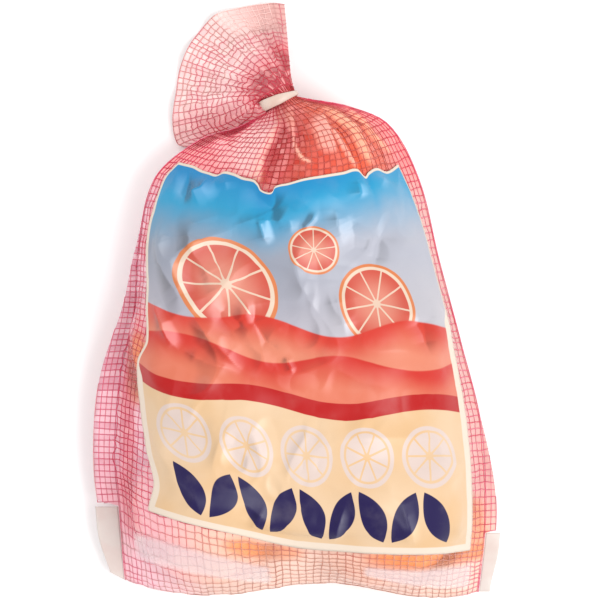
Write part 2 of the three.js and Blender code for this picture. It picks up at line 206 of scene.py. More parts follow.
def fold_tent(x, y, line, left, right):
    """How high a fold with flat sides stands, from 0 to 1, along a line of photo pixels.

    Left and right are the reaches of its sides as seen where the line runs down the photo."""
    points = [photo_point(pixel) for pixel in line]
    lengths = [math.dist(a, b) for a, b in zip(points, points[1:])]
    height = np.zeros(x.shape)
    done = 0.0
    for a, b, length in zip(points, points[1:], lengths):
        run = (b - a) / length
        u = np.clip((x - a[0]) * run[0] + (y - a[1]) * run[1], 0, length)
        dx, dy = x - a[0] - u * run[0], y - a[1] - u * run[1]
        away = np.hypot(dx, dy)
        side = (dx * run[1] - dy * run[0]) / np.maximum(away, 1e-6)
        reach = (left + right + (left - right) * side) / 2
        place = (done + u) / sum(lengths)
        taper = np.minimum(1, np.minimum(place, 1 - place) / FOLD_TAPER)
        height = np.maximum(height, (1 - away / reach) * taper)
        done += length
    return height


def fin_width(side, t):
    begun = ease(t, side["tab_top"], side["tab_top"] + FIN_STEP)
    return SEAM_EDGE + side["fin"] * begun * (1 - ease(t, *side["fade"]))


def label_sides(t):
    return along(LABEL_AT, LABEL_LEFT_SHARE, t), along(LABEL_AT, LABEL_RIGHT_SHARE, t)


def label_bottom(share):
    return LABEL_BOTTOM + curve(BOTTOM_EDGE, share)


def column_share(column, t):
    """A coarse column's place between the seams, 0 at the left one and 1 at the right one."""
    left, right = label_sides(t)
    seam = COLUMNS - 1
    return np.interp(column, [0, 1, LABEL_LEFT, LABEL_RIGHT, seam, COLUMNS], [0, 0, left, right, 1, 1])


def plan(share, t):
    """Where a share of the width meets a place along the bag, seen from above."""
    middle = 1 - (2 * share - 1) ** 2
    left_x, right_x = along(SEAM_AT, SEAM_LEFT_X, t), along(SEAM_AT, SEAM_RIGHT_X, t)
    left_y, right_y = along(SEAM_AT, SEAM_LEFT_Y, t), along(SEAM_AT, SEAM_RIGHT_Y, t)
    skew = SKEW * ease(t, 0, SKEW_FULL) * (1 - ease(t, *SKEW_FADES)) * (1 - share) ** 3
    bow = BOW * ease(t, *BOW_RISES) * (1 - ease(t, *BOW_FADES))
    dip = np.exp(-(((share - RISE_AT) / RISE_WIDTH) ** 2))
    belly = BELLY * (1 - (2 * share - 1) ** 4)
    rise = (RISE_HEIGHT * dip - belly) * (1 - ease(t, 0, RISE_ENDS))
    x = left_x + (right_x - left_x) * share
    y = left_y + (right_y - left_y) * share + skew + rise - bow * middle
    return x, y


def neck_ring(centre, turn, sheet):
    """The neck's oval over one sheet, from its left end at turn 0 to its right end at 1."""
    angle = (2 * np.asarray(turn, float) - 1) * math.pi / 2
    depth = np.maximum(SEAM_HALF, NECK_HALF_DEPTH * np.cos(angle))
    points = centre + np.sin(angle)[..., None] * NECK_HALF_WIDTH * ACROSS
    points[..., 2] = centre[2] + sheet * depth
    return points


def row_places():
    """The coarse rows' places along the bag."""
    foot = np.linspace(0, LABEL_BOTTOM, FOOT_ROWS, endpoint=False)
    label = np.linspace(LABEL_BOTTOM, LABEL_TOP, LABEL_ROWS, endpoint=False)
    shoulder = np.linspace(LABEL_TOP, 1, SHOULDER_ROWS + 1)
    tabs = [side["tab_top"] + step for side in (LEFT, RIGHT) for step in (0, FIN_STEP)]
    places = np.sort(np.concatenate([foot, label, shoulder, tabs]))
    kept = np.concatenate([[True], np.diff(places) > FIN_STEP / 2])
    return places[kept]


ROWS = row_places()


def fruit_middle(fruit):
    return np.array([fruit["x"], fruit["y"], fruit["radius"] - FLAT_SPOT])


def fruit_top(x, y):
    tops = np.full(x.shape, -np.inf)
    for f in FRUIT:
        rest = f["radius"] ** 2 - (x - f["x"]) ** 2 - (y - f["y"]) ** 2
        top = f["radius"] - FLAT_SPOT + np.sqrt(np.maximum(rest, 0))
        tops = np.where(rest > 0, np.maximum(tops, top), tops)
    return tops


def fruit_foot(x, y):
    feet = np.full(x.shape, np.inf)
    for m, n in NEIGHBOURS:
        a, b = FRUIT[m], FRUIT[n]
        dx, dy = b["x"] - a["x"], b["y"] - a["y"]
        u = np.clip(((x - a["x"]) * dx + (y - a["y"]) * dy) / (dx * dx + dy * dy), 0, 1)
        radius = a["radius"] + (b["radius"] - a["radius"]) * u
        rest = radius**2 - (x - a["x"] - u * dx) ** 2 - (y - a["y"] - u * dy) ** 2
        foot = radius - FLAT_SPOT - np.sqrt(np.maximum(rest, 0))
        feet = np.where(rest > 0, np.minimum(feet, foot), feet)
    return np.maximum(feet, 0)


def coarse_sheet(sheet):
    """One sheet of the body on the coarse grid, drawn tight over the fruit: 1 is the front, -1 the back."""
    shares = np.array([[column_share(i, t) for i in range(COLUMNS + 1)] for t in ROWS])
    places = np.repeat(ROWS[:, None], COLUMNS + 1, axis=1)
    x, y = plan(shares, places)
    x[:, 0] -= fin_width(LEFT, ROWS)
    x[:, -1] += fin_width(RIGHT, ROWS)
    z = along(SEAM_AT, SEAM_HEIGHT, places) + sheet * SEAM_HALF
    z[0] += BOTTOM_LIFT * (1 - (2 * shares[0] - 1) ** 2)
    points = np.stack([x, y, z], axis=-1)
    points[-1] = neck_ring(NECK_START, np.arange(COLUMNS + 1) / COLUMNS, sheet)
    x, y, z = points[..., 0], points[..., 1], points[..., 2]
    limit = fruit_top(x, y) if sheet > 0 else fruit_foot(x, y)
    inside = (slice(1, -1), slice(2, -2))
    for _ in range(RELAX_STEPS):
        level = (z[:-2, 2:-2] + z[2:, 2:-2] + z[1:-1, 1:-3] + z[1:-1, 3:-1]) / 4
        z[inside] = np.maximum(level, limit[inside]) if sheet > 0 else np.clip(level, 0, limit[inside])
    return points


def cubic_row(values, column):
    """A row of coarse values, read smoothly at fractional columns."""
    n = np.clip(np.floor(column).astype(int), 0, len(values) - 2)
    u = column - n
    a = values[np.maximum(n - 1, 0)]
    b = values[n]
    c = values[n + 1]
    d = values[np.minimum(n + 2, len(values) - 1)]
    return b + 0.5 * u * (c - a + u * (2 * a - 5 * b + 4 * c - d + u * (3 * (b - c) + d - a)))


def tail_reach(angle):
    corner = TAIL_CORNER_REACH * np.exp(-(((angle - TAIL_CORNER) / TAIL_CORNER_WIDTH) ** 2))
    tip = TAIL_TIP_REACH * ease(angle, TAIL_TIP_FROM, TAIL_TIP)
    short = TAIL_SHORT_SIDE * (1 - ease(angle, TAIL_RIGHT, TAIL_SHORT_TO))
    full = TAIL_REACH + corner + tip - short
    return full + (TAIL_FOLDED_REACH - full) * ease(angle, TAIL_TIP, TAIL_LEFT)


def tail_fan(reach, turn, sheet):
    """Points of the tail. Reach runs from the neck at 0 to the rim at 1, turn from left to right."""
    start = neck_ring(NECK_END, turn, sheet)
    angle = TAIL_LEFT + (TAIL_RIGHT - TAIL_LEFT) * turn
    out = np.stack([np.cos(angle), np.sin(angle), 0 * angle], axis=-1)
    inner = (start - NECK_END) * (1 - reach)[..., None]
    points = NECK_END + inner + out * (tail_reach(angle) * reach)[..., None]
    fold = TAIL_FOLD * ease(reach, *TAIL_FOLD_BEGINS) * np.sin(2 * math.pi * TAIL_FOLDS * turn)
    droop = NECK[2] + (TAIL_RIM_HEIGHT - NECK[2]) * ease(tail_reach(angle) * reach, 0, TAIL_REACH)
    half = sheet * (start[..., 2] - NECK[2])
    half = half + (TAIL_RIM_HALF - half) * ease(reach, 0, TAIL_THIN)
    points[..., 2] = droop + fold + sheet * np.maximum(half, SEAM_HALF)
    return points


# How the film lies: its slack over the fruit, how it fades where it leaves them, and the tail's ripples
# and puff with where they begin and end.
SLACK, SLACK_SIZE, SLACK_HELD = 0.35, 7.0, 0.6
CONTACT_NEAR, CONTACT_FADE = 0.5, 6.0
TAIL_RIPPLE, RIPPLE_SIZE, RIPPLE_BEGINS = 1.5, 9.0, (0.15, 0.6)
TAIL_CRUMPLE, CRUMPLE_SIZE, CRUMPLE_BEGINS = 0.7, 4.0, (0.05, 0.3)
TAIL_PUFF = np.array([6.0, -4.2, 5.0])
PUFF_FULL, PUFF_FADES, PUFF_TURN = 0.3, (0.45, 1), (0.04, 0.3)
BODY_FLOOR, TAIL_FLOOR, TAIL_BACK_FLOOR = 0.25, 0.9, 0.3
# How far from the tie's middle the net spreads out again: at its left end, in the middle, at its right end.
# It is drawn in to there from a place along the body, and up to a share of the tail.
GATHERED, GATHERED_FROM, GATHERED_TO = (3.6, 3.2, 1.8), 0.93, 0.14
# Where the tail is deep red, bunched net with painted shade beside the tie and where the tail lies on the
# shoulder: the stretch over which this ends near the tie, at its low and at its right side.
FLUSH_NEAR = (8, 28)
LOW_RED_AND_SHADE, LOW_TURN, LOW_AWAY = 0.85, (0.1, 0.32), (32, 60)
RIGHT_TURN, RIGHT_AWAY = (0.74, 0.9), (17, 35)
# The folded upper corner of the tail: where it begins and ends across the tail, and where it begins up it.
HEM_BEGINS, HEM_ENDS, HEM_UP = (0.62, 0.74), (0.9, 0.97), (0.62, 0.78)
# Where the peel shows through the film: a line of photo pixels, the reach to both sides and how clear it is.
# It is fully so from a share of the way in.
CLEAR_SPOTS = [
    (((218, 538), (262, 547), (312, 551)), 6.0, 0.8),
    (((352, 553), (430, 556), (480, 553), (530, 536)), 7.0, 1.0),
    (((464, 490), (470, 530), (478, 560)), 13.0, 0.8),
    (((140, 325), (138, 360), (136, 385), (136, 412)), 7.0, 0.9),
]
CLEAR_FULL = 0.6
# The foot's colours end this far above the panel's lower edge, and the shoulder's begin at these places
# and fall off this fast on the tail.
FOOT_FADE, SHOULDER_BEGINS, SHOULDER_FALL = 0.12, (0.68, 0.78), 8

# The fine sheets: rows from the bottom seam to the neck and on to the tail's rim, columns from fin to fin.
BODY_FINE, TAIL_FINE, SHARE_FINE, FIN_FINE = 300, 60, 241, 3
ALL_FINE = SHARE_FINE + 2 * FIN_FINE
FINE_PLACES = np.linspace(0, 1, BODY_FINE)
FINE_SHARES = np.linspace(0, 1, SHARE_FINE)
FINE_TURNS = np.linspace(0, 1, ALL_FINE)


def gathered(turn):
    """How far the net is pulled along the neck towards the tie."""
    return (NECK_LENGTH / 2 - np.interp(turn, [0, 0.5, 1], GATHERED))[..., None] * ALONG


def surface_normals(points, sheet):
    rise = np.gradient(points, axis=0)
    run = np.gradient(points, axis=1)
    return unit(np.cross(run, rise) * sheet)


def pleated(x, y):
    """The pleats over the body's fine points: how pale each point is, and how high it is raised."""
    pale = np.zeros(x.shape)
    height = np.zeros(x.shape)
    for line, rise, left, right, paleness in PLEATS:
        tent = fold_tent(x, y, line, left, right)
        pale = np.maximum(pale, paleness * ease(tent, *PLEAT_PALES))
        height += rise * tent
    begun = ease(FINE_PLACES, PLEAT_FROM, PLEAT_FULL)[:, None]
    left = 1 - ease(FINE_PLACES, PLEAT_FADE, PLEAT_END)[:, None]
    return begun * left * pale, begun * left * height


def red_and_shade_at(x, y):
    """How deep red the net is over the body's fine points, with painted shade where the tail lies on the
    shoulder.
    """
    away = np.hypot(x - NECK[0], y - NECK[1])
    deep = NECK_FLUSH * np.exp(-((away / NECK_FLUSH_REACH) ** 2))
    for line, left, right, depth in RED_AND_SHADE_LINES:
        deep = np.maximum(deep, depth * ease(fold_tent(x, y, line, left, right), 0, FLUSH_FULL))
    return deep


class Sheet:
    """One sheet of the bag on the fine grid, with its outward normals and how its film looks."""

    def __init__(self, sheet):
        self.sheet = sheet
        self.coarse = coarse_sheet(sheet)
        body = self.body()
        self.contact = self.touching(body)
        normals = surface_normals(body, sheet)
        slack = SLACK * np.abs(lattice_noise(body[..., 0], body[..., 1], SLACK_SIZE, SLACK_SEED + sheet))
        slack = slack * (1 - SLACK_HELD * self.contact)
        pale, height = pleated(body[..., 0], body[..., 1])
        deep = red_and_shade_at(body[..., 0], body[..., 1])
        body += normals * (height + slack)[..., None]
        body[..., 2] = np.maximum(body[..., 2], BODY_FLOOR)
        self.points = np.concatenate([body, self.tail()])
        self.normals = surface_normals(self.points, sheet)
        bare = np.zeros((TAIL_FINE, ALL_FINE))
        self.pleat = np.concatenate([pale, bare])
        self.contact = np.concatenate([self.contact, bare])
        self.flush = np.concatenate([deep, self.tail_red_and_shade()])
        self.hem = np.concatenate([0 * deep, self.tail_hem()])
        self.reach = self.down_rows(0 * FINE_PLACES, np.linspace(0, 1, TAIL_FINE))
        self.foot = self.down_rows(1 - ease(FINE_PLACES, LABEL_BOTTOM, LABEL_BOTTOM + FOOT_FADE))
        self.spot = np.concatenate([self.clear_spots(), bare])
        fall = 1 - np.linspace(0, SHOULDER_FALL, TAIL_FINE)
        self.shoulder = self.down_rows(ease(FINE_PLACES, *SHOULDER_BEGINS), fall)
        self.side = np.repeat(np.pad(FINE_SHARES, FIN_FINE, mode="edge")[None], BODY_FINE + TAIL_FINE, axis=0)

    def down_rows(self, body, tail=np.zeros(TAIL_FINE)):
        """Values that change only along the bag, for every fine row of the body and of the tail."""
        return np.repeat(np.clip(np.concatenate([body, tail]), 0, 1)[:, None], ALL_FINE, axis=1)

    def body(self):
        body = np.zeros((BODY_FINE, ALL_FINE, 3))
        inner = slice(FIN_FINE, FIN_FINE + SHARE_FINE)
        for n, t in enumerate(FINE_PLACES):
            left, right = label_sides(t)
            column = np.interp(FINE_SHARES, [0, left, right, 1], [1, LABEL_LEFT, LABEL_RIGHT, COLUMNS - 1])
            body[n, inner, 2] = cubic_row(along(ROWS, self.coarse[..., 2], t), column)
            body[n, inner, 0], body[n, inner, 1] = plan(FINE_SHARES, np.full(SHARE_FINE, t))
        out = np.arange(FIN_FINE, 0, -1) / FIN_FINE
        body[:, :FIN_FINE] = body[:, [FIN_FINE]]
        body[:, -FIN_FINE:] = body[:, [-FIN_FINE - 1]]
        body[:, :FIN_FINE, 0] -= fin_width(LEFT, FINE_PLACES)[:, None] * out
        body[:, -FIN_FINE:, 0] += fin_width(RIGHT, FINE_PLACES)[:, None] * out[::-1]
        ring = neck_ring(NECK_START, FINE_TURNS, self.sheet) + gathered(FINE_TURNS)
        near = ease(FINE_PLACES, GATHERED_FROM, 1)[:, None, None]
        return self.clear_of_fruit(body + (ring - body) * near)

    def clear_of_fruit(self, body):
        """Pushes points that lie inside a fruit out to its peel."""
        for f in FRUIT:
            middle = fruit_middle(f)
            away = np.linalg.norm(body - middle, axis=-1, keepdims=True)
            body = middle + (body - middle) * np.maximum(1, f["radius"] / np.maximum(away, 1))
        return body

    def tail(self):
        """The tail with its ripples. On its front a puff of slack net covers the left end of the tie."""
        reach, turn = np.meshgrid(np.linspace(0, 1, TAIL_FINE), FINE_TURNS, indexing="ij")
        tail = tail_fan(reach, turn, self.sheet)
        tail -= gathered(turn) * (1 - ease(reach, 0, GATHERED_TO))[..., None]
        x, y = tail[..., 0], tail[..., 1]
        ripple = lattice_noise(x, y, RIPPLE_SIZE, RIPPLE_SEED) * ease(reach, *RIPPLE_BEGINS)
        crumple = lattice_noise(x, y, CRUMPLE_SIZE, CRUMPLE_SEED) * ease(reach, *CRUMPLE_BEGINS)
        tail[..., 2] += TAIL_RIPPLE * ripple + TAIL_CRUMPLE * crumple
        if self.sheet > 0:
            puff = ease(reach, 0, PUFF_FULL) * (1 - ease(reach, *PUFF_FADES))
            tail += (puff * (1 - ease(turn, *PUFF_TURN)))[..., None] * TAIL_PUFF
        tail[..., 2] = np.maximum(tail[..., 2], TAIL_FLOOR if self.sheet > 0 else TAIL_BACK_FLOOR)
        return tail

    def clear_spots(self):
        """1 where the film lies so close on a fruit that its peel shows through."""
        x, y = self.points[:BODY_FINE, :, 0], self.points[:BODY_FINE, :, 1]
        clear = np.zeros(x.shape)
        for line, reach, depth in CLEAR_SPOTS:
            tent = fold_tent(x, y, line, reach, reach)
            clear = np.maximum(clear, depth * ease(tent, 0, CLEAR_FULL))
        return clear

    def tail_red_and_shade(self):
        """How deep red the tail is near the tie, at its right side and along its lower side: bunched net and
        painted shade.
        """
        away = np.linalg.norm((self.points[BODY_FINE:] - NECK_END)[..., :2], axis=-1)
        near = 1 - ease(away, *FLUSH_NEAR)
        low = LOW_RED_AND_SHADE * (1 - ease(FINE_TURNS, *LOW_TURN)) * (1 - ease(away, *LOW_AWAY))
        right = ease(FINE_TURNS, *RIGHT_TURN) * (1 - ease(away, *RIGHT_AWAY))
        return np.maximum(np.maximum(near, low), right)

    def tail_hem(self):
        """1 where the tail's upper corner is folded over, so that its net hardly shows."""
        across = ease(FINE_TURNS, *HEM_BEGINS) * (1 - ease(FINE_TURNS, *HEM_ENDS))
        return ease(np.linspace(0, 1, TAIL_FINE), *HEM_UP)[:, None] * across[None, :]

    def touching(self, body):
        """1 where the sheet lies on a fruit, down to 0 where it is well clear."""
        gaps = [np.linalg.norm(body - fruit_middle(f), axis=-1) - f["radius"] for f in FRUIT]
        gap = np.maximum(np.min(gaps, axis=0) - CONTACT_NEAR, 0)
        return np.exp(-((gap / CONTACT_FADE) ** 2))


FRONT = Sheet(1)
BACK = Sheet(-1)


def shift_to_cad():
    """How far the CAD moved the bag to put its origin under its middle."""
    reach, turn = np.meshgrid(
        np.arange(TAIL_ROWS + 1) / TAIL_ROWS, np.arange(COLUMNS + 1) / COLUMNS, indexing="ij")
    grids = [FRONT.coarse, BACK.coarse, tail_fan(reach, turn, 1)]
    low = np.min([grid.reshape(-1, 3).min(axis=0) for grid in grids], axis=0)
    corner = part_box("net_bag")[0]
    return np.array([corner.x / MM - low[0], corner.y / MM - low[1], 0.0])


SHIFT = shift_to_cad()


def at_row(place):
    """The fine row of a place along the body."""
    return np.asarray(place, float) * (BODY_FINE - 1)


def at_place(row):
    """The place along the body of a fine row."""
    return row / (BODY_FINE - 1)


def at_column(share):
    """The fine column of a share of the width between the seams."""
    return FIN_FINE + np.asarray(share, float) * (SHARE_FINE - 1)


def read(grid, row, column):
    """A fine grid read at fractional rows and columns."""
    j = np.clip(np.floor(row).astype(int), 0, grid.shape[0] - 2)
    i = np.clip(np.floor(column).astype(int), 0, grid.shape[1] - 2)
    v = (row - j).reshape(row.shape + (1,) * (grid.ndim - 2))
    u = (column - i).reshape(column.shape + (1,) * (grid.ndim - 2))
    low = grid[j, i] * (1 - u) + grid[j, i + 1] * u
    high = grid[j + 1, i] * (1 - u) + grid[j + 1, i + 1] * u
    return low * (1 - v) + high * v


def new_mesh(name, points, faces, smooth=True):
    """A mesh object from points in the bag's millimetres and faces as lists of indices."""
    mesh = bpy.data.meshes.new(name)
    placed = (np.asarray(points, float) + SHIFT) * MM
    mesh.from_pydata(placed.tolist(), [], [tuple(int(k) for k in f) for f in faces])
    mesh.update()
    mesh.polygons.foreach_set("use_smooth", [smooth] * len(mesh.polygons))
    piece = bpy.data.objects.new(name, mesh)
    bpy.context.scene.collection.objects.link(piece)
    return piece


def set_values(piece, name, values):
    """Stores one number a vertex on a piece, for its material."""
    layer = piece.data.attributes.new(name, "FLOAT", "POINT")
    layer.data.foreach_set("value", np.asarray(values, float).ravel())


def put(piece, material, slot, *nodes):
    """Gives a piece its material and its body, and hides the CAD nodes it stands for. The slot is not used.
    """
    piece.data.materials.clear()
    piece.data.materials.append(material)
    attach(piece, "root")
    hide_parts(*nodes)
    return piece


def closed_between(outer, inner):
    """Points and faces of a closed skin between two grids of the same size, the outer one facing out."""
    tall, across = outer.shape[:2]
    index = np.arange(tall * across).reshape(tall, across)
    quads = np.stack([index[:-1, :-1], index[:-1, 1:], index[1:, 1:], index[1:, :-1]], axis=-1).reshape(-1, 4)
    faces = quads.tolist() + (quads[:, ::-1] + index.size).tolist()
    rim = np.concatenate([index[0, :-1], index[:-1, -1], index[-1, :0:-1], index[:0:-1, 0]])
    after = np.roll(rim, -1)
    faces += np.stack([after, rim, rim + index.size, after + index.size], axis=-1).tolist()
    return np.concatenate([outer.reshape(-1, 3), inner.reshape(-1, 3)]), faces


FACING_LIGHT = 1.6  # how much brighter the light makes a surface that faces it


def linear(red, green, blue):
    """A colour from its 0 to 255 values as they look in the photo."""
    def channel(value):
        value = value / 255
        return value / 12.92 if value <= 0.04045 else ((value + 0.055) / 1.055) ** 2.4
    return (channel(red), channel(green), channel(blue), 1.0)


def lit(red, green, blue):
    """The colour of a surface that faces the light, from its 0 to 255 values as they look in the photo."""
    return tuple(channel / FACING_LIGHT for channel in linear(red, green, blue)[:3]) + (1.0,)


# The sockets of a node that mixes two colours: the share, the two colours and the result.
MIX_SHARE, MIX_UNDER, MIX_OVER, MIX_COLOUR = 0, 6, 7, 2


class Value:
    """A number or a colour that a material works out, so that its code can use plain sums."""

    def __init__(self, paint, socket):
        self.paint = paint
        self.socket = socket

    def __add__(self, other):
        return self.paint.math("ADD", self, other)

    def __sub__(self, other):
        return self.paint.math("SUBTRACT", self, other)

    def __rsub__(self, other):
        return self.paint.math("SUBTRACT", other, self)

    def __mul__(self, other):
        return self.paint.math("MULTIPLY", self, other)

    def __abs__(self):
        return self.paint.math("ABSOLUTE", self)


class Paint:
    """A material with a Principled shader, and short ways to add nodes to it.

    Its colours are 0 to 255 values as they look in the photo, turned to the shader's by shown."""

    def __init__(self, name, roughness, sheen=0.5, shown=linear):
        self.shown = shown
        self.material = bpy.data.materials.new(name)
        self.material.use_nodes = True
        self.tree = self.material.node_tree
        self.shader = self.tree.nodes["Principled BSDF"]
        self.set("Roughness", roughness)
        self.set("Specular IOR Level", sheen)

    def feed(self, socket, value):
        """Links a value to a socket, or sets the socket to a plain number or colour."""
        if isinstance(value, Value):
            self.tree.links.new(value.socket, socket)
        else:
            socket.default_value = self.shown(*value) if isinstance(value, tuple) else value

    def set(self, name, value):
        """Gives the shader one of its values."""
        self.feed(self.shader.inputs[name], value)

    def colour(self, value):
        """Gives the shader its colour, and returns the material."""
        self.set("Base Color", value)
        return self.material

    def node(self, kind, output, inputs=(), **settings):
        """Adds a node with these settings and pairs of a socket and its value, and returns an output."""
        node = self.tree.nodes.new("ShaderNode" + kind)
        for name, setting in settings.items():
            setattr(node, name, setting)
        for socket, value in inputs:
            self.feed(node.inputs[socket], value)
        return Value(self, node.outputs[output])

    def math(self, operation, *values):
        return self.node("Math", 0, enumerate(values), operation=operation)

    def ease(self, value, low, high):
        """0 where the value is at low, 1 at high, smooth between. Low may be above high."""
        inputs = [("Value", value), ("From Min", low), ("From Max", high)]
        return self.node("MapRange", "Result", inputs, interpolation_type="SMOOTHSTEP")

    def inside(self, value, edge, soft=0.25):
        """1 where the value is below an edge, 0 where it is above."""
        return self.ease(value, edge + soft, edge - soft)

    def mix(self, share, under, over):
        """The colour under, painted with the colour over by a share."""
        inputs = [(MIX_SHARE, share), (MIX_UNDER, under), (MIX_OVER, over)]
        return self.node("Mix", MIX_COLOUR, inputs, data_type="RGBA")

    def ramp(self, value, stops):
        """A colour that changes through stops of a value."""
        places = sorted(stops)
        colour = stops[places[0]]
        for low, high in zip(places, places[1:]):
            colour = self.mix(self.ease(value, low, high), colour, stops[high])
        return colour

    def scaled(self, colour, factor):
        """A colour made brighter or darker by a factor."""
        return self.node("VectorMath", 0, [(0, colour), ("Scale", factor)], operation="SCALE")

    def noise(self, scale, detail=3.0):
        inputs = [("Scale", scale), ("Detail", detail), ("Vector", self.place())]
        return self.node("TexNoise", "Fac", inputs)

    def place(self):
        """The place on the object, in metres."""
        return self.node("TexCoord", "Object")

    def part(self, place, axis):
        return self.node("SeparateXYZ", axis, [(0, place)])

    def flat(self):
        """The place on a film laid flat, across it and up it, each from 0 to 1."""
        place = self.node("UVMap", 0, uv_map="OFBake")
        return self.part(place, "X"), self.part(place, "Y")

    def stored(self, name):
        """A number stored on the piece's vertices."""
        return self.node("Attribute", "Fac", attribute_name=name)

    def bump(self, height, strength, distance):
        inputs = [("Strength", strength), ("Distance", distance), ("Height", height)]
        self.set("Normal", self.node("Bump", "Normal", inputs))


def mottled(name, scale, dark, pale):
    """A smooth material in two close tones."""
    paint = Paint(name, 0.4, shown=lit)
    return paint.colour(paint.mix(paint.ease(paint.noise(scale), 0.35, 0.65), dark, pale))


# Strands of net on the bag's film: their section, how they lie on it and how far apart they are.
STRAND_WIDTH, STRAND_THICKNESS = 0.42, 0.24
STRAND_CORNERS = [(-1, -0.35), (0, -1), (1, -0.35), (1, 0.35), (0, 1), (-1, 0.35)]
STRAND_LIFT, CROSS_LIFT = 0.18, 0.32
FLOOR_CLEAR = 0.04
MESH_SIZE, COLUMN_MESH, FIN_MESH, SHOULDER_MESH, TAIL_MESH = 3.4, 4.0, 2.7, 3.5, 3.2
SEEN_SHARE, FOOT_SEEN_SHARE = 0.6, 0.85
# Places along the bag: where strands are counted and where some of them end, and shares that bound its sides.
HIPS, LABEL_MIDDLE, SHOULDER_SHARE, CROWDED_SHARE, LAST_ROW = 0.3, 0.45, 0.74, 0.9, 0.965
SIDE_SHARES = (0.105, 0.905)
HIDDEN_FOOT, HIDDEN_TOP, HIDDEN_SIDE = 0.012, 0.04, 0.02
TAIL_STRANDS, TAIL_STARTS, TAIL_STRAND_POINTS, TAIL_ROUND_POINTS = 40, (0.0, 0.56, 0.26, 0.6), 28, 120
BODY_SWAY, TAIL_SWAY, SWAY_SIZE = 0.8, 1.5, 8.0
WOBBLE, WOBBLE_SIZE = 0.5, 3.0
# The strands lie calm near the neck, in the first rows of the tail and in its last ones.
NECK_CALM, TAIL_CALM, RIM_CALM = (0.9, 0.97), 6, (10, 2)
SIDE_TONE, FIN_TONE, TAIL_TONE, STRAND_VARIES = 0.6, 0.82, 0.9, 0.12
# How much the shoulder, the pleats, the foot, the bunched net with its painted shade and the folded corner
# change a strand's tone.
SHOULDER_DARKER, PLEAT_PALER, FOOT_PALER, RED_AND_SHADE_DARKER = 0.22, 0.3, 0.3, 0.45
TAIL_RED_AND_SHADE_DARKER, HEM_PALER = 0.62, 0.6
# How brown the strands are on the tail and on the shoulder, how much more so on its right, and on clear
# spots. The body's are so between these shares of the width.
TAIL_WARMTH, SHOULDER_WARMTH, RIGHT_WARMTH, SPOT_WARMTH = 0.3, 0.35, 0.5, 0.7
WARM_BEGINS, WARM_ENDS, RIGHT_BEGINS = (0.02, 0.3), (0.9, 1.0), (0.35, 0.5)
# The net changes to its look below the panel over this much under and over the panel's lower edge.
BELOW_FROM, BELOW_TO = 0.02, 0.06
# Where the rows are measured: the columns left out at each side, the step between those that are read, and
# how far over the panel's lower edge the net is pulled as wide as at the foot.
UNMEASURED, MEASURED_STEP, FOOT_PULLED = 40, 20, 0.05
# A strand along a fin follows its edge where the fin is narrower by up to this.
FIN_OVERHANG = 0.4
# How far the tail's strands are off their even places, how their starts vary, and where the first one round
# the tie lies, in meshes.
TAIL_JITTER, TAIL_START_VARIES, TAIL_FIRST_ROUND = 0.25, (0.85, 1.15), 0.8


def runs(mask):
    """The stretches of a mask that are true, as slices."""
    edges = np.flatnonzero(np.diff(np.concatenate([[0], mask.astype(int), [0]])))
    return [slice(a, b) for a, b in zip(edges[::2], edges[1::2]) if b - a > 1]


class Ribbons:
    """Flat closed strands in one mesh. Tone is 0 for deep red, 1 for pale pink, and warm is 1 for brown."""

    def __init__(self):
        self.points = []
        self.faces = []
        self.tones = []
        self.warmths = []
        self.count = 0

    def add(self, line, normals, tone, warm=0.0, lift=STRAND_LIFT):
        tangent = np.gradient(line, axis=0)
        side = unit(np.cross(normals, tangent))
        up = unit(np.cross(tangent, side))
        middle = line + up * lift
        side = side * STRAND_WIDTH / 2
        up = up * STRAND_THICKNESS / 2
        ring = np.stack([middle + side * a + up * b for a, b in STRAND_CORNERS], axis=1)
        ring[..., 2] = np.maximum(ring[..., 2], FLOOR_CLEAR)
        count, sides = ring.shape[:2]
        index = self.count + np.arange(count * sides).reshape(count, sides)
        turned = np.roll(index, -1, axis=1)
        quads = np.stack([index[:-1], turned[:-1], turned[1:], index[1:]], axis=-1).reshape(-1, 4)
        self.points.append(ring.reshape(-1, 3))
        self.faces += quads.tolist() + [index[0][::-1].tolist(), index[-1].tolist()]
        self.tones.append(np.repeat(np.broadcast_to(tone, count), sides))
        self.warmths.append(np.repeat(np.broadcast_to(warm, count), sides))
        self.count += count * sides

    def add_shown(self, shown, line, normals, tone, warm, lift=STRAND_LIFT):
        """Adds the stretches of a strand where it is shown."""
        for run in runs(shown):
            self.add(line[run], normals[run], tone[run], warm[run], lift)

    def mesh(self, name):
        piece = new_mesh(name, np.concatenate(self.points), self.faces)
        set_values(piece, "tone", np.concatenate(self.tones))
        set_values(piece, "warmth", np.concatenate(self.warmths))
        return piece


def varied(tone):
    """A tone with a strand's own small share of chance."""
    return tone + RANDOM.uniform(-STRAND_VARIES, STRAND_VARIES)


def spread(steps, seen_share):
    """How far steps carry the net. A steep stretch is pulled wide, so it counts for less than its length."""
    length = np.linalg.norm(steps, axis=-1)
    seen = np.linalg.norm(steps[..., :2], axis=-1)
    return length * (1 - seen_share) + seen * seen_share


def evenly(measure, mesh, places):
    """Places a mesh apart along a measure."""
    total = np.concatenate([[0], np.cumsum(measure)])
    count = int(total[-1] / mesh)
    return np.interp(np.linspace(0, total[-1], count + 1), total, places)


def strand_shares(place, mesh):
    """Shares of the width a mesh apart across the front, at a place along the bag."""
    line = FRONT.points[int(at_row(place)), FIN_FINE:-FIN_FINE]
    return evenly(spread(np.diff(line, axis=0), SEEN_SHARE), mesh, FINE_SHARES)


